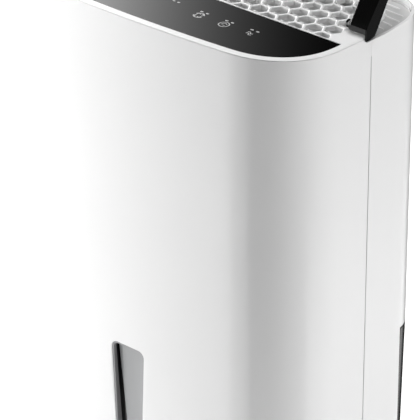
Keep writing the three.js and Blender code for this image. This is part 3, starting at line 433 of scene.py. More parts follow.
class Look(Graph):
    """One procedural material on the Principled BSDF."""

    def __init__(self, name, color, **numbers):
        super().__init__(bpy.data.materials.new(name), clear=False)
        self.surface = self.tree.nodes["Principled BSDF"]
        self.set({"Base Color": (*color, 1), **numbers})

    def set(self, inputs):
        """Links or sets the surface's inputs by name."""
        self.give(self.surface, inputs)
        return self

    def noise(self, scale, detail):
        """Soft noise from 0 to 1; scale is in cycles per metre."""
        sizes = {"Vector": self.place, "Scale": scale, "Detail": detail, "Roughness": 0.5}
        return self.node("TexNoise", sizes)

    def mix(self, factor, a, b):
        """Colour a where the factor is 0 and b where it is 1."""
        return self.node("Mix", {"Factor": factor, 6: (*a, 1), 7: (*b, 1)}, 2, data_type="RGBA")

    def bump(self, height, strength, distance):
        """Bumps from 0 up to distance millimetres high, as the height goes from 0 to 1."""
        sizes = {"Height": height, "Strength": strength, "Distance": distance * MM}
        return self.set({"Normal": self.node("Bump", sizes)})


def paint(obj, look):
    """Gives an object one material."""
    obj.data.materials.clear()
    obj.data.materials.append(look.owner)


def moulded(name, low, high, roughness, grain, scale=900, spread=0.05, **numbers):
    """Moulded plastic: a colour that drifts slightly, a fine grain and a roughness that varies a little."""
    look = Look(name, low, **numbers)
    colour = look.mix(look.noise(9, 3), low, high)
    look.set({"Base Color": colour, "Roughness": look.noise(40, 2) * spread + (roughness - spread / 2)})
    if grain:
        look.bump(look.noise(scale, 2), grain, 0.02)
    return look


def metal(name, low, high, roughness, scale=600):
    """Metal whose colour and roughness follow the same fine noise."""
    look = Look(name, low, Metallic=1.0)
    grain = look.noise(scale, 3)
    look.set({"Base Color": look.mix(grain, low, high), "Roughness": grain * 0.14 + (roughness - 0.07)})
    return look.bump(grain, 0.2, 0.03)


def window_edge(name, colour, painted_shade, roughness):
    """Grey plastic of the level window, with painted shade: a black band in its depth along both sides."""
    look = moulded(name, colour, [k * 1.06 for k in colour], roughness, 0)
    # painted shade: black where the window's depth lies in shadow
    black = look.ramp(painted_shade(*look.axes()), -0.15, 0.15, 0, 1, "SMOOTHSTEP")
    return look.set({"Base Color": look.mix(black, [k * 1.03 for k in colour], grey(0.003))})


def bezel_painted_shade(x, y, z):
    """How far a point lies behind a line in the frame's depth, which runs deeper towards its foot; behind it
    the frame gets painted shade.
    """
    return y + HALF_D - (WINDOW_HEAD[2] - z) * 0.029 - 3.4


def lens_painted_shade(x, y, z):
    """How far a point lies outside two lines near the sides, which close in towards the foot; outside them
    the lens gets painted shade.
    """
    left = (WINDOW_HEAD[2] - z) * 0.117 - 14.06 - x
    return left.most(x - 15.6 + (WINDOW_HEAD[2] - z) * 0.037)


def cover_plastic():
    """White gloss that is duller on the floor of the handle's channel, where painted shade makes it darker.
    """
    look = moulded("cover plastic", *WHITE, 0.16, 0.03, 500)
    # painted shade: the channel's floor is coloured darker grey for the shade that falls in the channel
    floor = look.ramp(look.axes()[2], CHANNEL_FLOOR + 0.2, CHANNEL_FLOOR + 1.6, 1, 0, "SMOOTHSTEP")
    colour = look.mix(floor, grey(0.81), grey(0.5))
    return look.set({"Base Color": colour, "Roughness": floor * 0.4 + 0.18})


def grey(level):
    """A colour with equal red, green and blue."""
    return (level, level, level)


WHITE = grey(0.80), grey(0.83)
LOOKS = {
    "white_gloss": moulded("white gloss plastic", *WHITE, 0.16, 0.03, 500),
    "white_satin": moulded("white satin plastic", (0.74, 0.74, 0.735), (0.78, 0.78, 0.775), 0.42, 0.12),
    "panel_black": moulded("black touch glass", grey(0.0012), grey(0.002), 0.05, 0),
    "handle_black": moulded(
        "handle plastic", grey(0.0008), grey(0.0014), 0.16, 0.03, 700, 0.03, **{"Specular IOR Level": 0.3}),
    "tank_face_black": moulded("tank face plastic", grey(0.004), grey(0.006), 0.22, 0.03, 700, 0.03),
    "black_satin": moulded("black satin plastic", grey(0.010), grey(0.014), 0.36, 0.2),
    "hinge_pin": moulded("pin", grey(0.62), grey(0.68), 0.3, 0.05),
    # the window frame and the lens both carry a black band of painted shade
    "window_bezel": window_edge("window frame plastic", (0.30, 0.30, 0.305), bezel_painted_shade, 0.35),
    "window_lens": window_edge("smoked lens", (0.37, 0.375, 0.38), lens_painted_shade, 0.1),
    "tank_clear": moulded("smoked tank plastic", (0.30, 0.31, 0.32), (0.34, 0.35, 0.36), 0.14, 0.04),
    "rubber": moulded("rubber", grey(0.012), grey(0.02), 0.8, 0.5, 1500, 0.1),
    "filter_frame": moulded("filter frame plastic", (0.05, 0.05, 0.052), (0.065, 0.065, 0.067), 0.5, 0.2),
    "enamel": moulded("black enamel", (0.008, 0.008, 0.009), (0.014, 0.014, 0.015), 0.3, 0.35, 300),
    "aluminium": metal("aluminium", (0.55, 0.56, 0.57), (0.70, 0.71, 0.72), 0.34),
    "steel": metal("zinc-plated steel", (0.38, 0.39, 0.40), (0.52, 0.53, 0.54), 0.36, 250),
    "copper": metal("copper", (0.62, 0.28, 0.16), (0.80, 0.40, 0.24), 0.3, 400),
    "circuit_board": moulded("circuit board", (0.008, 0.075, 0.03), (0.012, 0.105, 0.042), 0.4, 0.3, 700),
}
for part in frame["record"]["subparts"]:
    paint(frame["nodes"][part["node"]], LOOKS[part["material_slot"]])


def piece(obj, slot, replaces=(), body="housing", look=None, angle=32):
    """Paints a piece and smooths it between its creases; it rides on a body and stands for its CAD nodes."""
    paint(obj, look or LOOKS[slot])
    obj.data.shade_smooth()
    obj.data.set_sharp_from_angle(angle=math.radians(angle))
    even = obj.modifiers.new("even normals", "WEIGHTED_NORMAL")
    even.mode = "FACE_AREA"
    even.keep_sharp = True
    even.weight = 70
    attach(obj, body)
    if replaces:
        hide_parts(*replaces)
    return obj


def body_of(node):
    """The body that a CAD node rides on."""
    return frame["nodes"][node]["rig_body"]


# -------- top cover
CELL_X, CELL_Y, CELL_FLAT, CELL_HALF = 14.5, 16.1, 13.6, 8.2
CELL_CUT = PANEL_REAR + 1.6  # cells that reach further forward are cut off here
CELL_FIRST, CELL_COLUMNS, GRID_MARGIN = -30.0, 10, 21.2
STAY, FOLLOW = 9.4, CHANNEL_W - 1.1  # see build_cover()


def cell_outlines():
    """Hexagons of the air outlet, in columns of which every other one is half a cell further back.

    Those that reach the panel are cut off square.
    """
    found = []
    half = CELL_FLAT / 2
    hexagon = np.array([[1, 0], [0.5, 1], [-0.5, 1], [-1, 0], [-0.5, -1], [0.5, -1]]) * [CELL_HALF, half]
    for column in range(-CELL_COLUMNS, CELL_COLUMNS + 1):
        x = column * CELL_X
        y = CELL_FIRST + (CELL_Y / 2 if column % 2 else 0)
        while y <= HALF_D - GRID_MARGIN - half:
            full = hexagon + [x, y]
            if full[:, 1].min() >= CELL_CUT:
                found.append(full)
            elif y > CELL_CUT - 2:
                reach = CELL_HALF * (1 - abs((CELL_CUT - y) / half) / 2)
                found.append(np.array([[x - reach, CELL_CUT], [x + reach, CELL_CUT], *full[1:3]]))
            y += CELL_Y
    return found


def panel_ring(inwards, z, radius=0.4):
    """The control panel's outline at a height, moved inwards.

    It is the cabinet's front outline moved in, two quarter circles and a straight rear edge.
    """
    inset, rear = PANEL_INSET + inwards, PANEL_REAR - inwards
    corner, reach = s_of(CORNER_Y0), s_of(rear - radius)
    half = join([np.linspace(0, corner, 28)[:-1], np.linspace(corner, reach, 56)])
    s = join([-half[:0:-1], half])
    front = at(s, inset, 0)[:, :2]
    turn = np.linspace(0, np.pi / 2, 5)[1:]
    side = HALF_W - inset
    right = np.stack([side - radius * (1 - np.cos(turn)), rear - radius * (1 - np.sin(turn))], 1)
    back = np.stack([np.linspace(side - radius, radius - side, 40)[1:-1], np.full(38, rear)], 1)
    return in_plane(join([front, right, back, right[::-1] * [-1, 1]]), z)


def channel_reach(s):
    """Inset of the channel's inner wall: the channel's width along the sides and the back.

    In the rear corners it is the distance along the normal to a circle of the radius CHANNEL_R.
    """
    path = np.minimum(s, LENGTH - s)
    point, inner = at(path, 0, 0)[..., :2], at(path, 1, 0)[..., :2]
    way = inner - point
    centre = np.array([HALF_W, HALF_D]) - CHANNEL_W - CHANNEL_R
    away = point - centre
    along = (away * way).sum(-1)
    root = along ** 2 - (away ** 2).sum(-1) + CHANNEL_R ** 2
    reach = -along - np.sqrt(np.clip(root, 0, None))
    met = away + way * reach[..., None]
    return np.where((root > 0) & (met.min(-1) > 0), reach, CHANNEL_W)


def cover_samples():
    """Arc lengths round the cover, with double columns where its section changes."""
    a, b = s_of(RIM_END_Y), s_of(CHANNEL_Y)
    front = spaced([0, s_of(CORNER_Y0), s_of(CORNER_Y1), a - TINY], [7, 2.0, 5])
    middle = np.array([a + TINY, b - TINY])
    rear = spaced([b + TINY, s_of(HALF_D - REAR_R), REAR_FLAT, LENGTH / 2], [3, 1.6, 7])
    half = join([front, middle, rear])
    kind = np.repeat([0, 1, 2], [len(front), len(middle), len(rear)])
    return join([half, LENGTH - half[-2:0:-1]]), join([kind, kind[-2:0:-1]])


def line(a, b, n):
    """Points spread evenly from a to b, without b."""
    return np.linspace(a, b, n, endpoint=False)


def arc(centre, radius, start, end, n):
    """Points on an arc; its angles are in degrees."""
    return np.array(centre) + radius * ways(np.radians(np.linspace(start, end, n)))


def cover_sections():
    """(inset, z) sections of the cover: front with the rim band, plain side, and the handle's channel."""
    top, band = RIM, RIM - 0.4
    inner = FIT + 2.2
    seat = [[inner, RIM - 8], [inner, COVER_FLOOR - 0.2]]
    seat += [[inner + k, COVER_FLOOR] for k in (0.2, 0.4, 0.6, 0.9)]
    tail = [[FIT, SKIRT + 0.3], [FIT + 0.3, SKIRT], [inner - 0.3, SKIRT], [inner, SKIRT + 0.3]]
    front = join([
        line([4.0, top], [1.8, top], 18),
        arc([0, 0], 1, 90, 180, 9) * [1.7, top - band - 0.05] + [1.7, band + 0.05],
        [[0.1, band], [FIT - 0.1, band], [FIT, band - 0.2]],
        tail,
        seat,
    ])
    side = join([
        line([4.0, top], [3.3, top], 18),
        arc([FIT + 0.3, top - 0.3], 0.3, 90, 180, 7),
        [[FIT, top - k] for k in (0.4, 0.5, 0.6, 0.7)],
        [[FIT, band - 0.2]],
        tail,
        seat,
    ])
    floor, below, wall = CHANNEL_FLOOR, CHANNEL_FLOOR - 2.4, CHANNEL_W + 2.2
    channel = join([
        arc([CHANNEL_W + 1, top - 1], 1, 90, 180, 6),
        [[CHANNEL_W, top - 3.4]],
        arc([CHANNEL_W - 1.1, floor + 1.1], 1.1, 0, -90, 5),
        [[k, floor] for k in (14, 11.5, 9.4, 8.0, 6.5, 5.0, 4.2)],
        line([3.9, floor + 0.05], [3.45, floor + 0.6], 2),
        arc([FIT + 0.4, floor + 0.75], 0.4, 60, 180, 4),
        [[FIT, floor + k] for k in (0.6, 0.45, 0.3, 0.15, 0)],
        tail,
        [[inner, below + 0.3], [inner + 0.3, below], [wall - 0.2, below], [wall, below + 0.3]],
        [[wall, COVER_FLOOR - 0.2], [wall + 0.2, COVER_FLOOR]],
    ])
    return front, side, channel


def build_cover():
    """The cover: its sections carried round the outline, with round-edged cells and the panel's seat.

    In the channel, points between STAY and FOLLOW from the outline shift ever more with the inner wall.
    """
    s, kind = cover_samples()
    table = np.stack(cover_sections())[kind]
    share = np.clip((table[..., 0] - STAY) / (FOLLOW - STAY), 0, 1) * (kind == 2)[:, None]
    inset = table[..., 0] + share * (channel_reach(s) - CHANNEL_W)[:, None]
    rings = at(s[:, None], inset, table[..., 1]).transpose(1, 0, 2)
    mesh = Mesh()
    mesh.stack(rings)
    steps = [(g, RIM - d) for g, d in rounding(1.1)] + [(0, COVER_FLOOR)]
    tops, bottoms = [], []
    for outline in cell_outlines():
        loops = [in_plane(rounded_polygon(outline, g, 1.1, 3), z) for g, z in steps]
        mesh.stack(loops)
        tops.append(loops[0])
        bottoms.append(loops[-1])
    steps = [(-g, RIM - d) for g, d in rounding(0.35, 3)]
    steps += [(0, PANEL_SEAT + 0.2), (0.2, PANEL_SEAT)]
    recess = [panel_ring(g, z) for g, z in steps]
    mesh.stack(recess)
    mesh.cap([recess[-1]], PANEL_SEAT)
    mesh.cap([rings[0], recess[0], *tops], RIM)
    mesh.cap([rings[-1], *bottoms], COVER_FLOOR)
    return mesh.build("cover_shell")


piece(build_cover(), "white_gloss", ["top_cover"], look=cover_plastic())


def rib(mesh, start, end, across):
    """A half-round rib on the channel's floor: its half width is a cosine and its height a sine.

    Both shrink at the two ends.
    """
    arch = np.linspace(0, np.pi, 11)
    side = np.append(np.cos(arch), [-1, 1]) * 1.3
    up = np.append(RIB_HEIGHT * np.sin(arch), [-0.3, -0.3])
    rings = []
    for share, full in ((0, 0.5), (0.04, 1.0), (0.94, 1.0), (1, 0.4)):
        middle = np.array(start) * (1 - share) + np.array(end) * share
        ring = middle + np.array(across) * (side * full)[:, None]
        rings.append(np.column_stack([ring, CHANNEL_FLOOR + np.where(up > 0, up * full, up)]))
    mesh.solid(rings)


def build_ribs():
    """The ribs across the channel's floor, between its inner wall and a line inside its outer wall.

    In the corners they end on the circles of those walls.
    """
    mesh = Mesh()
    bend_x, bend_y = HALF_W - REAR_R, HALF_D - REAR_R
    inner_x, inner_y = HALF_W - CHANNEL_W - CHANNEL_R, HALF_D - CHANNEL_W - CHANNEL_R
    for i in range(5):
        y = RIB_FIRST + i * RIB_PITCH
        end = bend_x + math.sqrt((REAR_R - RIB_OUTER) ** 2 - max(y - bend_y, 0) ** 2)
        start = inner_x + math.sqrt(max(CHANNEL_R ** 2 - max(y - inner_y, 0) ** 2, 0))
        for side in (-1, 1):
            rib(mesh, [side * start, y], [side * end, y - 1.6], [0, 1])
    for x in np.arange(-3, 4) * BACK_PITCH:
        rib(mesh, [x, HALF_D - CHANNEL_W], [x, HALF_D - RIB_OUTER], [1, 0])
    return mesh.build("channel_ribs")


piece(build_ribs(), "white_gloss", angle=50)


def build_vanes():
    """The louvre bars under the honeycomb, each with rounded edges, between two rails."""
    mesh = Mesh()
    top, half = RIM - 4.7, 149.0
    for i in range(9):
        y = -9 + i * CELL_Y / 2
        corners = [[y + 4, top - 12], [y + 5.6, top - 12], [y + 1.6, top - 2.2], [y, top - 2.2]]
        mesh.prism(corners, -half + 1.2, half - 1.2, axis=0, radius=0.5, edge=0.1)
    for x in (-half, half):
        mesh.prism(rectangle(x - 1.5, x + 1.5, -11, 63), top - 16, top, radius=0.5)
    return mesh.build("louvre_bars")


vane_look = moulded("louvre plastic", grey(0.88), grey(0.92), 0.5, 0.1)
piece(build_vanes(), "white_satin", ["outlet_vanes"], look=vane_look)


# -------- control panel
def build_panel():
    """The glass: a plate one gap smaller than its seat, with a quarter-round upper edge."""
    top, bottom = RIM - 0.4, RIM - 3.0
    gap = 0.3
    rings = [panel_ring(gap + g, top - d) for g, d in rounding(0.35)] + [panel_ring(gap, bottom)]
    mesh = Mesh()
    mesh.stack(rings)
    mesh.cap([rings[0]], top)
    mesh.cap([rings[-1]], bottom)
    return mesh.build("touch_panel")


piece(build_panel(), "panel_black", ["control_panel"])


KEYS = (-44.9, -48.8), (44.9, -48.8), (72.2, -48.8), (99.2, -48.7), (-72.2, -48.8), (-99.2, -48.7)
LAMPS = [-3.1, 7.0], [3.1, 6.9]
PRINT_Z = RIM - 0.42, RIM - 0.35


def icon_ring(mesh, centre, outer, inner, start=0, end=360):
    """A flat ring, or an arc of one with square ends."""
    turn = np.radians(np.linspace(start, end, 33))
    if end - start < 360:
        way = ways(turn)
        return mesh.extrude(join([centre + outer * way, centre + inner * way[::-1]]), PRINT_Z)
    low, high = PRINT_Z
    section = [[outer, low], [outer, high], [inner, high], [inner, low]]
    return mesh.grid(turned(section, centre, 2, 40), close_u=True, close_v=True)


def icon_dot(mesh, centre, wide, deep):
    """A flat rectangle with round corners."""
    corners = np.array(rectangle(-wide / 2, wide / 2, -deep / 2, deep / 2)) + centre
    return mesh.extrude(rounded_polygon(corners, 0, min(wide, deep) * 0.45, 4), PRINT_Z)


def build_icons():
    """Printed key signs: a power sign, a fan, a dial and a pair of waves, each with two lamps behind it."""
    mesh = Mesh()
    keys = np.array(KEYS)
    for key in keys:
        for shift in LAMPS:
            icon_dot(mesh, key + shift, 3.1, 1.9)
    for x in (9.8, 15.0):
        icon_dot(mesh, [x, -40.6], 2.8, 1.9)
    power, fan_sign, dial, waves, inner, outer = keys
    for centre in (power, outer):
        icon_ring(mesh, centre, 4.0, 3.1, 120, 420)
        icon_dot(mesh, centre + [0, 2.6], 0.9, 3.6)
    for k in range(4):
        turn = math.radians(45 + 90 * k)
        blade = fan_sign + 2.3 * np.array([math.cos(turn), math.sin(turn)])
        icon_ring(mesh, blade, 2.0, 1.0, 90 * k - 60, 90 * k + 130)
    for start in (20, 200):
        icon_ring(mesh, fan_sign, 5.0, 4.2, start, start + 140)
    for centre in (dial, inner):
        icon_ring(mesh, centre, 5.0, 4.1)
        icon_ring(mesh, centre, 2.6, 1.8, 20, 200)
        icon_dot(mesh, centre + [0.6, -1.6], 2.6, 0.9)
    for shift in (-1.3, 1.3):
        icon_ring(mesh, waves + [-1.5, shift], 1.9, 1.0, 20, 160)
        icon_ring(mesh, waves + [1.5, shift + 0.5], 1.9, 1.0, 200, 340)
    return mesh.build("key_signs")


piece(build_icons(), "panel_black", look=moulded("key print", grey(0.34), grey(0.40), 0.5, 0))


# -------- front shell
def window_ring(shrink, y):
    """The window's outline at a depth y: a tapered quadrilateral with round corners, moved inwards."""
    (x0, x1, z0), (x2, x3, z1) = WINDOW_FOOT, WINDOW_HEAD
    return in_plane(rounded_polygon([[x0, z0], [x1, z0], [x3, z1], [x2, z1]], -shrink, 6.0, 6), y, 1)


def build_front():
    """The front moulding, on a grid of arc lengths and heights that drops by pillow() at its edges.

    Its seam is open below SEAM_TOP and nearly shut above it.
    """
    s_seam, side = s_of(SEAM_Y), s_of(SIDE_Y)
    edge, seam_blend = 0.5, SEAM_TOP - 8
    half = join([
        spaced([0, s_of(CORNER_Y0), s_of(CORNER_Y1), side - TINY], [5, 1.8, 6]),
        spaced([side + TINY, s_seam - edge], [3]),
        s_seam - edge * CROWD[-2::-1],
    ])
    s = join([-half[:0:-1], half])
    top = np.where(np.interp(np.abs(s), CURVE_S, CURVE_P[:, 1]) < SIDE_Y, RIM - 0.8, SHELL_TOP)
    levels = edge_marks(0, SEAM_TOP - 1, edge, 12)
    levels = join([levels[levels < seam_blend - 3], seam_blend + np.array([-3, -1, 0, 1, 3])])
    last = SHELL_BOTTOM + levels[-1]
    rows = [np.full_like(s, SHELL_BOTTOM + level) for level in levels]
    rows += [last * (1 - part) + (top - edge) * part for part in (0.33, 0.66)]
    rows += [top - gap for gap in edge * CROWD[::-1]]
    z = np.stack(rows, 1)
    end = s_seam - np.clip((SEAM_TOP + 1 - z) / 2, 0, 1) * 0.35 - 0.01
    way = s[:, None] + np.sign(s[:, None]) * (end - s_seam) * (np.abs(s[:, None]) > s_seam - 3)
    side_gap = (end - np.abs(way)) / np.where(z > SEAM_TOP, 0.12, 1.0)
    distance = np.minimum.reduce([z - SHELL_BOTTOM, top[:, None] - z, side_gap])
    return shell(at(way, pillow(distance, edge), z), at(way, WALL, z)).build("front_moulding")


def window_cutter():
    """A plug through the front wall whose mouth flares out like the hole's rounded edge."""
    front, radius = -HALF_D, 0.7
    steps = [(radius + 0.6, -0.6)] + [(a, b + 0.03) for a, b in rounding(radius, 5)] + [(0, 14)]
    return Mesh().solid([window_ring(-a, front + b) for a, b in steps]).build("window_cutter")


front = combine(build_front(), window_cutter(), "DIFFERENCE")
piece(front, "white_gloss", ["front_shell"])


# -------- water-level window
def build_window_frame():
    """The frame: one section of insets and depths carried round the window's outline."""
    front = -HALF_D + 0.6
    back, flange = front + 7, -HALF_D + WALL + 0.7
    e, gap = 0.35, 0.06
    section = [
        (gap + e, front), (gap + 0.1, front + 0.1), (gap, front + e), (gap, flange - 0.2), (-2.8, flange),
        (-3.0, flange + 0.2), (-3.0, back - 0.2), (-2.8, back), (1.5, back), (1.7, back - 0.2),
        (1.7, front + e), (1.6, front + 0.1), (1.7 - e, front),
    ]
    rings = np.stack([window_ring(a, y) for a, y in section])
    return Mesh().grid(rings, close_u=True, close_v=True).build("window_frame_ring")


def build_lens():
    """The smoked lens: a plate inside the frame with small bevels."""
    back = -HALF_D + 7.6
    section = (2.3, -2), (2.1, -1.9), (2.0, -1.7), (2.0, -0.2), (2.2, 0)
    return Mesh().solid([window_ring(a, back + y) for a, y in section]).build("lens")


piece(build_window_frame(), "window_bezel", ["window_frame"])
piece(build_lens(), "window_lens", ["level_window"])


# -------- rear shell
def build_rear():
    """The rear moulding, on the same kind of grid as the front one.

    It has the seam, side edges by the tank's face, and the seat and the opening of the intake panel.
    """
    s_seam, face, seat, end = s_of(SEAM_Y), s_of(FACE_Y - 0.6), s_of(REAR_Y - 0.5), LENGTH / 2
    edge, window = 0.5, end - FILTER_W - 0.5
    near = edge * CROWD
    half = join([
        s_seam + near,
        spaced([s_seam + 3, s_of(SLOPE_Y[0]), s_of(HALF_D - REAR_R), face - edge], [4, 2.5, 1.6]),
        (face - near)[::-1][1:-1], [face - TINY, face + TINY],
        spaced([face + 1, seat - 0.5], [1.6]), [seat - TINY, seat + TINY],
        spaced([seat + 0.6, REAR_FLAT, window - TINY], [1.8, 3]),
        spaced([window + TINY, end], [9]),
    ])
    s, y = mirrored(half)
    path = np.minimum(s, LENGTH - s)
    top = RIM - (RIM - SHELL_TOP) * (1 - smooth(y, *SLOPE_Y))
    behind = path > face
    bottom = np.where(behind, FACE_TOP + 0.6, SHELL_BOTTOM)
    seat0, seat1 = REAR_BOTTOM - 0.5, REAR_TOP + 0.5
    hole0, hole1 = FILTER_Z0 - 0.5, FILTER_Z1 + 0.5
    rows = [bottom + g for g in near]
    rows += [(bottom + edge) * (1 - part) + (seat0 - 8) * part for part in np.linspace(0, 1, 14)[1:-1]]
    fixed = [level + k * TINY for level in (seat0, hole0, hole1, seat1) for k in (-1, 1)]
    fixed += [seat0 - 8, seat0 - 7, seat0 - 7 + TINY, seat0 - 3, seat0 + 6]
    fixed += [*np.linspace(hole0 + 20, hole1 - 20, 12)]
    fixed += [seat1 - 6, SEAM_TOP - 5.5, SEAM_TOP - 1, SEAM_TOP + 1, seat1 + 7 - TINY, seat1 + 7, seat1 + 9]
    rows += [np.full_like(s, level) for level in sorted(fixed)]
    rows += [max(fixed) * (1 - part) + (top - edge) * part for part in (0.4, 0.75)]
    rows += [top - g for g in near[::-1]]
    z = np.maximum.accumulate(np.stack(rows, 1), 1)
    path, shut = path[:, None], z > SEAM_TOP
    seam = np.where(shut, 0.01, 0.35)
    around = s[:, None] + seam * np.clip(1 - (path - s_seam) / 3, 0, 1) * np.where(s < end, 1, -1)[:, None]
    way = np.minimum(around, LENGTH - around)
    seam_gap = (way - s_seam - seam) / np.where(shut, 0.12, 1.0)
    side_gap = np.where(~behind[:, None] & (z < FACE_TOP + 0.6), face - way, 9.0)
    distance = np.minimum.reduce([z - bottom[:, None], top[:, None] - z, seam_gap, side_gap])
    in_seat = (path > seat) & (z > seat0) & (z < seat1)
    outer = np.where(in_seat, 2.5, pillow(distance, edge))
    deep = (path > face + 1) & (z > seat0 - 7) & (z < seat1 + 7)
    middle = (z[:, :-1] + z[:, 1:]) / 2
    open_row = (middle > hole0) & (middle < hole1)
    open_column = (path[:-1] > window) & (path[1:] > window)
    keep = ~(open_column & open_row[:-1] & open_row[1:])
    return shell(at(around, outer, z), at(around, np.where(deep, 5.1, WALL), z), keep).build("rear_moulding")


piece(build_rear(), "white_gloss", ["rear_shell"])


# -------- rear intake panel
def beyond(values, spans):
    """How far each value lies outside its nearest span; negative inside."""
    return np.min([np.maximum(a - values, values - b) for a, b in spans], 0)


def from_edge(S, Z, start, low, high):
    """How far points lie from the nearest edge of a panel across the back."""
    return np.minimum.reduce([S - start, LENGTH - start - S, Z - low, high - Z])


def build_intake():
    """The rear panel with two banks of level slots.

    Near its border and near each slot the face drops by pillow() of the distance.
    """
    edge, lip_radius, end, start = 0.6, 0.5, LENGTH / 2, s_of(REAR_Y)
    side, bar = FILTER_W - 12, 3.5
    banks = [(end - side, end - bar), (end + bar, end + side)]
    slots = [(z, z + 5.4) for z in np.arange(FILTER_Z0 + 14, FILTER_Z1 - 18, 11)]
    lip = lip_radius * CROWD[1:]
    around = [mark + k for mark in np.ravel(banks) for k in (*lip, 0, *-lip)]
    corner = spaced([start + 1.5, REAR_FLAT], [1.6])
    flat = np.linspace(REAR_FLAT + 2, LENGTH - REAR_FLAT - 2, 30)
    left = join([start + edge * CROWD, corner])
    s = np.unique(np.round(join([left, LENGTH - left, around, flat]), 4))
    rows = [[mark + k for mark in np.ravel(slots) for k in (*lip, 0, *-lip)]]
    rows += [REAR_BOTTOM + edge * CROWD, REAR_TOP - edge * CROWD]
    rows += [np.linspace(REAR_BOTTOM + 2, FILTER_Z0 + 10, 4), np.linspace(FILTER_Z1 - 8, REAR_TOP - 2, 4)]
    z = np.unique(np.round(join(rows), 4))
    S, Z = np.meshgrid(s, z, indexing="ij")
    inset = pillow(from_edge(S, Z, start, REAR_BOTTOM, REAR_TOP), edge)
    dx, dz = beyond(S, banks), beyond(Z, slots)
    out = np.hypot(np.maximum(dx, 0), np.maximum(dz, 0))
    inset = np.maximum(inset, np.where((dx > -0.3) & (dz > -0.3), pillow(out, lip_radius), 0))
    cut_s, cut_z = beyond((s[:-1] + s[1:]) / 2, banks) < 0, beyond((z[:-1] + z[1:]) / 2, slots) < 0
    return shell(at(S, inset, Z), at(S, 2.2, Z), ~(cut_s[:, None] & cut_z[None])).build("intake_grille")


intake_body = body_of("rear_intake")
piece(build_intake(), "white_gloss", ["rear_intake"], intake_body)


# -------- tank face
def build_face():
    """The tank's outer face, which wraps round the rear corners and leans in evenly towards its foot."""
    edge, start = 0.8, s_of(FACE_Y)
    s = mirrored(edge_marks(start, LENGTH / 2, edge, 1.8, both=False))[0]
    S, Z = np.meshgrid(s, edge_marks(FACE_BOTTOM, FACE_TOP, edge, 8), indexing="ij")
    tuck = FACE_TUCK * (FACE_TOP - Z) / (FACE_TOP - FACE_BOTTOM)
    outer = tuck + pillow(from_edge(S, Z, start, FACE_BOTTOM, FACE_TOP), edge)
    return shell(at(S, outer, Z), at(S, tuck + 3, Z)).build("tank_front_plate")


def grip_cutter():
    """The grip's hollow, whose mouth has a rounded edge."""
    loop, radius = rectangle(-GRIP_W, GRIP_W, GRIP_LOW, GRIP_TOP), 1.2
    middle = (GRIP_LOW + GRIP_TOP) / 2
    surface = HALF_D - FACE_TUCK * (FACE_TOP - middle) / (FACE_TOP - FACE_BOTTOM)
    steps = [(GRIP_FLOOR + a, b) for a, b in ((0, -1.6), (0.3, -0.6), (1.3, -0.1), (1.9, 0))]
    steps += [(surface - a, b) for a, b in rounding(radius)] + [(HALF_D + 4, radius)]
    rings = [in_plane(rounded_polygon(loop, grow, 9, 6), y, 1) for y, grow in steps]
    return Mesh().solid(rings).build("grip_cutter")


GRIP_WALL = 2.4
pocket = rectangle(-GRIP_W - GRIP_WALL, GRIP_W + GRIP_WALL, GRIP_FLOOR - GRIP_WALL, HALF_D - 1.5)
pocket = Mesh().prism(pocket, GRIP_LOW - GRIP_WALL, GRIP_TOP + GRIP_WALL, radius=3, edge=1.2).build("pocket")
plate = combine(build_face(), pocket, "UNION")
plate = combine(plate, grip_cutter(), "DIFFERENCE")
piece(plate, "tank_face_black", ["tank_face"], body_of("tank_face"))


# -------- carry handle
def lifted(points):
    """Points of the folded handle turned about the hinge's axis up to its rest lean."""
    turn = math.pi / 2 - LEAN
    y, z = points[..., 1] - PIVOT_Y, points[..., 2] - PIVOT_Z
    out = points.copy()
    out[..., 1] = PIVOT_Y + y * math.cos(turn) - z * math.sin(turn)
    out[..., 2] = PIVOT_Z + y * math.sin(turn) + z * math.cos(turn)
    return out


def build_handle():
    """The bow, laid out as it lies folded: a rounded box section carried along the cabinet's outline.

    Its outer side steps in by smooth(), and its upper face is a wedge that thins out with y.
    """
    marks = [s_of(PIVOT_Y - 1), s_of(STEP_Y[0]), s_of(HALF_D - REAR_R), REAR_FLAT, LENGTH / 2]
    s, y = mirrored(spaced(marks, [4, 1, 1.4, 10]))
    outside = -2 + 6.1 * smooth(y, *STEP_Y)
    wedge = np.clip(3.3 - 0.1 * (y - PIVOT_Y - 2), 0, 3.3)
    inside = HANDLE_IN + 1 - 0.45 * wedge
    middle, thick = PIVOT_Z - 2, 5.3
    turn = np.linspace(0, np.pi / 2, 6)
    bend = np.stack([1 - np.cos(turn), 1 - np.sin(turn)], 1)
    section = []
    for share, way, up in ((0, 1, 1), (1, -1, 1), (1, -1, -1), (0, 1, -1)):
        corner = bend if way == up else bend[::-1]
        section += [(share, way * i, middle + up * (thick - k)) for i, k in corner]
    share, shift, height = np.array(section).T
    inset = outside[:, None] * (1 - share) + inside[:, None] * share + shift
    level = height + wedge[:, None] * (height > middle)
    return Mesh().solid(lifted(at(s[:, None], inset, level))).build("handle_bow")


def foot_plate(side):
    """The plate at the outside of each end, with a vertical front edge that hangs over the side wall."""
    def leaning(up, back):
        """The point so far up along the leaning arm and so far behind its middle."""
        y, z = up * math.sin(LEAN) + back * math.cos(LEAN), up * math.cos(LEAN) - back * math.sin(LEAN)
        return [PIVOT_Y + y, PIVOT_Z + z]

    front, back, end = PIVOT_Y - 6.1, 7.3, 38
    loop = [[front, RIM - 2.4], [front + 5, RIM - 2.1], [front + 10.4, RIM - 0.8]]
    loop += [leaning(*k) for k in ((0, back), (end, back), (end, -3.3), (25, -4.2), (13.4, -5.4), (2, -6.6))]
    loop = np.array(loop + [[front + 0.4, PIVOT_Z + 2.6], [front, PIVOT_Z - 2]])
    return Mesh().extrude(loop, [side * (HALF_W + k) for k in (0.4, 2)], 0).build("foot_plate")


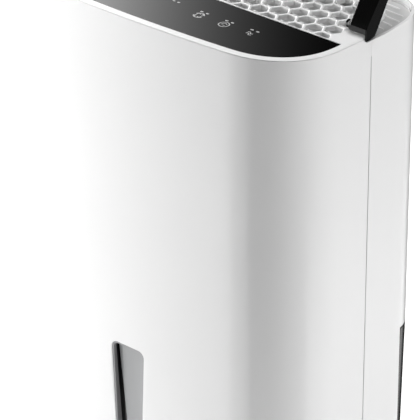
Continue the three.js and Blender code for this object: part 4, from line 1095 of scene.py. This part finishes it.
def round_bar(name, radius, start, end, sides=48, edge=0.4):
    """A bar along X through the hinge's middle, with blunt edges."""
    low, high = sorted((start, end))
    steps = [(edge, 0), (edge * 0.3, edge * 0.3), (0, edge)]
    profile = [[radius - a, low + b] for a, b in steps] + [[radius - a, high - b] for a, b in steps[::-1]]
    return Mesh().revolve(profile, (PIVOT_Y, PIVOT_Z), 0, sides).build(name)


SIDES = (-1, "left"), (1, "right")
handle = build_handle()
for side, word in SIDES:
    handle = combine(handle, foot_plate(side), "UNION")
    socket = round_bar("socket", BARREL_R - 0.5, side * (BARREL_IN - 7), side * (BARREL_OUT + 0.1), 32, 0.05)
    handle = combine(handle, socket, "DIFFERENCE")
piece(handle, "handle_black", ["carry_handle"], "handle", angle=26).visible_glossy = False

for side, word in SIDES:
    barrel = round_bar("barrel_" + word, BARREL_R, side * BARREL_IN, side * BARREL_OUT)
    bore = round_bar("bore", PIN_BORE, side * (BARREL_IN - 1), side * (BARREL_IN + 13), 32, 0.05)
    piece(combine(barrel, bore, "DIFFERENCE"), "black_satin", ["carry_handle"], "handle")


# -------- hinge brackets and pins
def circle(radius, start, end, n):
    """Points on a circle about the origin; its angles are in radians."""
    return ways(np.linspace(start, end, n)) * radius


def build_bracket(side, word):
    """A thin upright hook round the pin: a ring with an open mouth in front, on a stem behind it."""
    radius, mouth = 3.6, 1.5
    top, low = math.asin(mouth / radius), math.asin(mouth / PIN_BORE)
    head = circle(radius, math.pi - top, -0.2, 25)
    chin = circle(radius, -math.pi / 2 + 0.3, -math.pi + top, 9)
    hollow = circle(PIN_BORE, -math.pi + low, math.pi - low, 33)
    foot = RIM + 0.3 - PIVOT_Z
    stem = [[4.2, -1.0], [4.2, foot], [0.5, foot], [0.5, -3.5]]
    loop = join([head, stem, chin, hollow]) + [PIVOT_Y, PIVOT_Z]
    levels = side * BRACKET_X, side * (BRACKET_X - BRACKET_PLATE)
    return Mesh().extrude(loop, levels, 0).build("bracket_plate_" + word)


def build_pin(side, word):
    """The pin, one revolved profile: a round-edged head inside the bracket and a shank in the barrel."""
    inner = BRACKET_X - BRACKET_PLATE - 0.3
    head = [[1.5, -1.5], [2.7, -1.4], [3.2, -1.1], [3.3, -0.8], [3.3, -0.15], [3.15, 0], [2.0, 0]]
    tip = BARREL_IN + 12
    profile = [[radius, inner + x] for radius, x in head] + [[2.0, tip - 0.4], [1.6, tip]]
    levels = np.array(profile) * [1, side]
    return Mesh().revolve(levels, (PIVOT_Y, PIVOT_Z), 0, 32).build("pin_bar_" + word)


for side, word in SIDES:
    piece(build_bracket(side, word), "handle_black", ["hinge_bracket_" + word])
    piece(build_pin(side, word), "hinge_pin", ["hinge_pin_" + word])


# -------- feet, filter, coils
def build_foot(name, x, y):
    """A rubber foot, one revolved profile: rounded sole, a groove round it and a shallow hollow below."""
    profile = [
        [0.02, 1.2], [7.0, 1.2], [7.8, 0.9], [8.2, 0.3], [8.8, 0], [10.6, 0],
        [11.5, 0.4], [11.9, 1.2], [12, 2.6], [11.7, 3.0], [11.3, 3.2], [11.3, 3.8],
        [11.7, 4.0], [12, 4.4], [12, 5.6], [11.7, 6.0], [0.02, 6.0],
    ]
    return Mesh().revolve(profile, (x, y), 2, 40).build(name)


FOOT_X, FOOT_Y = 135, 58.5
for k, (x, y) in enumerate([(FOOT_X, -FOOT_Y), (-FOOT_X, -FOOT_Y), (FOOT_X, FOOT_Y), (-FOOT_X, FOOT_Y)], 1):
    piece(build_foot(f"rubber_foot_{k}", x, y), "rubber", [f"foot_{k}"])


CLOTH_Y = 88.2
BAR_X, SILL = 126, 347  # inner side of the filter's rim and foot of its crossbar


def build_mesh_cloth():
    """Crossed threads of the dust filter between the bars of its frame."""
    mesh = Mesh()
    half, step, top = 0.22, 4.0, FILTER_Z1 - 2
    for low, high in ((-128.5, -1.5), (1.5, 128.5)):
        for z in np.arange(FILTER_Z0 + 3.5, top, step):
            mesh.bar(low, high, CLOTH_Y - 0.4, CLOTH_Y, z - half, z + half)
        for x in np.arange(low + 1.2, high, step):
            mesh.bar(x - half, x + half, CLOTH_Y, CLOTH_Y + 0.4, FILTER_Z0 + 2, top)
    return mesh.build("filter_threads", weld=0)


def build_filter_frame():
    """The filter's frame: a rim with a crossbar each way, which holds the thread cloth."""
    mesh = Mesh()
    for x0, x1 in ((-FILTER_W, -BAR_X), (BAR_X, FILTER_W), (-2, 2)):
        mesh.prism(rectangle(x0, x1, 86.1, 89.9), FILTER_Z0, FILTER_Z1, radius=0.4)
    for z0 in (FILTER_Z0, SILL, FILTER_Z1 - 4):
        mesh.prism(rectangle(-BAR_X - 0.2, BAR_X + 0.2, 86.2, 89.8), z0, z0 + 4, radius=0.3, edge=0.3)
    return mesh.build("filter_rim")


COIL_LEFT, COIL_RIGHT, COIL_LOW, COIL_HIGH = -30, 144, 248, 450


def build_fins(node, y0, y1):
    """Thin upright fins in a row, with a thicker end plate at both ends."""
    mesh = Mesh()
    for x in np.arange(COIL_LEFT + 2, COIL_RIGHT - 1, 2.4):
        mesh.bar(x - 0.15, x + 0.15, y0 + 0.5, y1 - 0.5, COIL_LOW, COIL_HIGH)
    for x in (COIL_LEFT, COIL_RIGHT):
        mesh.bar(x - 0.6, x + 0.6, y0 + 0.1, y1 - 0.1, COIL_LOW - 1.8, COIL_HIGH + 1.8)
    return mesh.build(node + "_fins", weld=0)


def build_tubes(node, y):
    """Level tubes through the fins, joined by bends that change ends from row to row.

    A bend is a circle carried along half an ellipse, from one row up to the next.
    """
    mesh = Mesh()
    radius, drop, left, right = 3.3, 22.0, COIL_LEFT - 1, COIL_RIGHT + 1
    rows = np.arange(COIL_LOW + 12, COIL_HIGH, drop)
    around = np.linspace(0, 2 * np.pi, 14, endpoint=False)
    for z in rows:
        mesh.revolve([[radius, left], [radius, right]], (y, z), 0, 14)
    for k, z in enumerate(rows[:-1]):
        end, way = (right, 1) if k % 2 else (left, -1)
        rings = []
        for t in np.linspace(-np.pi / 2, np.pi / 2, 13):
            centre = [end + way * 3 * np.cos(t), y, z + drop / 2 * (1 + np.sin(t))]
            ring = [way * np.cos(around) * np.cos(t), np.sin(around), np.cos(around) * np.sin(t)]
            rings.append(np.array(centre) + radius * np.stack(ring, 1))
        mesh.solid(rings)
    return mesh.build(node + "_tubes", weld=0)


for node, y0, y1 in (("evaporator", 57.0, 80.0), ("condenser", 32.0, 55.0)):
    fins, tubes = build_fins(node, y0, y1), build_tubes(node, (y0 + y1) / 2)
    piece(fins, "aluminium", [node])
    piece(tubes, "copper")

piece(build_mesh_cloth(), "filter_frame", body=intake_body)
piece(build_filter_frame(), "filter_frame", ["filter_mesh"], intake_body)


# -------- stage: floor, light and camera, in metres
def area(name, location, target, width, height, power):
    """A rectangular lamp that faces its target and stays out of sight."""
    data = bpy.data.lights.new(name, "AREA")
    data.shape = "RECTANGLE"
    data.size, data.size_y = width, height
    data.energy = power
    obj = placed(name, data)
    obj.location = location
    away = Vector(location) - Vector(target)
    obj.rotation_mode = "QUATERNION"
    obj.rotation_quaternion = away.to_track_quat("Z", "Y")
    obj.visible_camera = False


LEFT_CARD, RIGHT_CARD = (1.8, 1.3), (1.6, 0.2)  # brightness near the object and further out


def build_floor():
    """A pale floor that takes the shadow and brightens to plain white away from the object.

    In glossy surfaces it is dark in front of the right corner, between a bright card on either side.
    """
    bpy.ops.mesh.primitive_plane_add(size=30, location=(0, 0, -0.0005))
    floor = bpy.context.object
    floor.name = "floor"
    graph = Graph(bpy.data.materials.new("floor"))
    x, y, _ = graph.axes()
    away = graph.node("VectorMath", [graph.place], "Value", operation="LENGTH")
    left = graph.ramp(y * 0.145 + 185 - x, 0, 30, 0, 1) * graph.ramp(y, -180, -100, 1, 0)
    left = left * graph.ramp(away, 0.55, 1.2, *LEFT_CARD)
    right = graph.ramp(x * 0.106 + 33 + y, 0, 30, 0, 1) * graph.ramp(x, 160, 200, 0, 1)
    right = right * graph.ramp(away, 0.55, 1.1, *RIGHT_CARD)
    seen = graph.ramp(away, 0.3, 1.3, 0.4, 1.1) * graph.ray("Camera")
    glow = graph.node("Emission", {"Strength": seen + left.most(right) * graph.ray("Glossy")})
    matt, dark = [graph.node("BsdfDiffuse", [(*grey(level), 1)]) for level in (0.85, 0.03)]
    base = graph.node("MixShader", [graph.ray("Glossy"), matt, dark])
    graph.node("OutputMaterial", [graph.node("AddShader", [base, glow])])
    floor.data.materials.append(graph.owner)


def build_card():
    """A reflector behind the unit that only glossy surfaces show.

    It fades along its length by a power of the length that is left.
    """
    mesh = bpy.data.meshes.new("reflector")
    corners = [(-0.45, -0.3, 0), (0.75, -0.3, 0), (0.75, 0.3, 0), (-0.45, 0.3, 0)]
    mesh.from_pydata(corners, [], [(0, 1, 2, 3)])
    card = placed("reflector", mesh)
    across, up = Vector((0.742, 0.670, 0)), Vector((0.305, -0.336, 0.889))
    turn = Matrix([across, up, across.cross(up)]).transposed().to_4x4()
    card.matrix_world = Matrix.Translation((-0.478, 0.477, 0.863)) @ turn
    graph = Graph(bpy.data.materials.new("reflector"))
    fade = ((237 - graph.axes()[0]) / 245.5).most(0).power(3.27) * 1.21
    graph.node("OutputMaterial", [graph.node("Emission", {"Strength": fade})])
    mesh.materials.append(graph.owner)
    for ray in ("camera", "diffuse", "transmission", "volume_scatter", "shadow"):
        setattr(card, "visible_" + ray, False)


WORLD = (0.05, 0.02, 1.0)  # brightness for soft light, for reflections and behind the object


def build_world():
    """A white world, dim for soft light, dark in reflections and plain white behind the object."""
    world = bpy.data.worlds.new("studio")
    bpy.context.scene.world = world
    graph = Graph(world)
    soft, mirror, behind = [graph.node("Background", [(1, 1, 1, 1), level]) for level in WORLD]
    shade = graph.node("MixShader", [graph.ray("Glossy"), soft, mirror])
    shade = graph.node("MixShader", [graph.ray("Camera"), shade, behind])
    graph.node("OutputWorld", [shade])


build_world()
build_floor()
build_card()
LIGHTS = [  # name, place, target, width, height and power
    ("key light", (-1.2, -1.0, 0.55), (0, -0.05, 0.3), 0.5, 1.3, 15),
    ("left light", (-1.6, -0.3, 0.55), (0, -0.05, 0.3), 0.5, 1.3, 54.5),
    ("side light", (1.65, 0.35, 0.5), (0.17, 0, 0.3), 0.4, 1.3, 17),
    ("top light", (0.1, 0.1, 1.9), (0, 0, 0.4), 1.2, 1.2, 17.5),
]
for light in LIGHTS:
    area(*light)

camera = placed("camera", bpy.data.cameras.new("camera"))
camera.data.lens = 283.43
camera.data.sensor_width = 36
camera.location = (1.7019, -1.8712, 1.5805)
camera.rotation_euler = (math.radians(62.936), 0, math.radians(42.070))
bpy.context.scene.camera = camera

bpy.context.scene.view_settings.view_transform = "Standard"
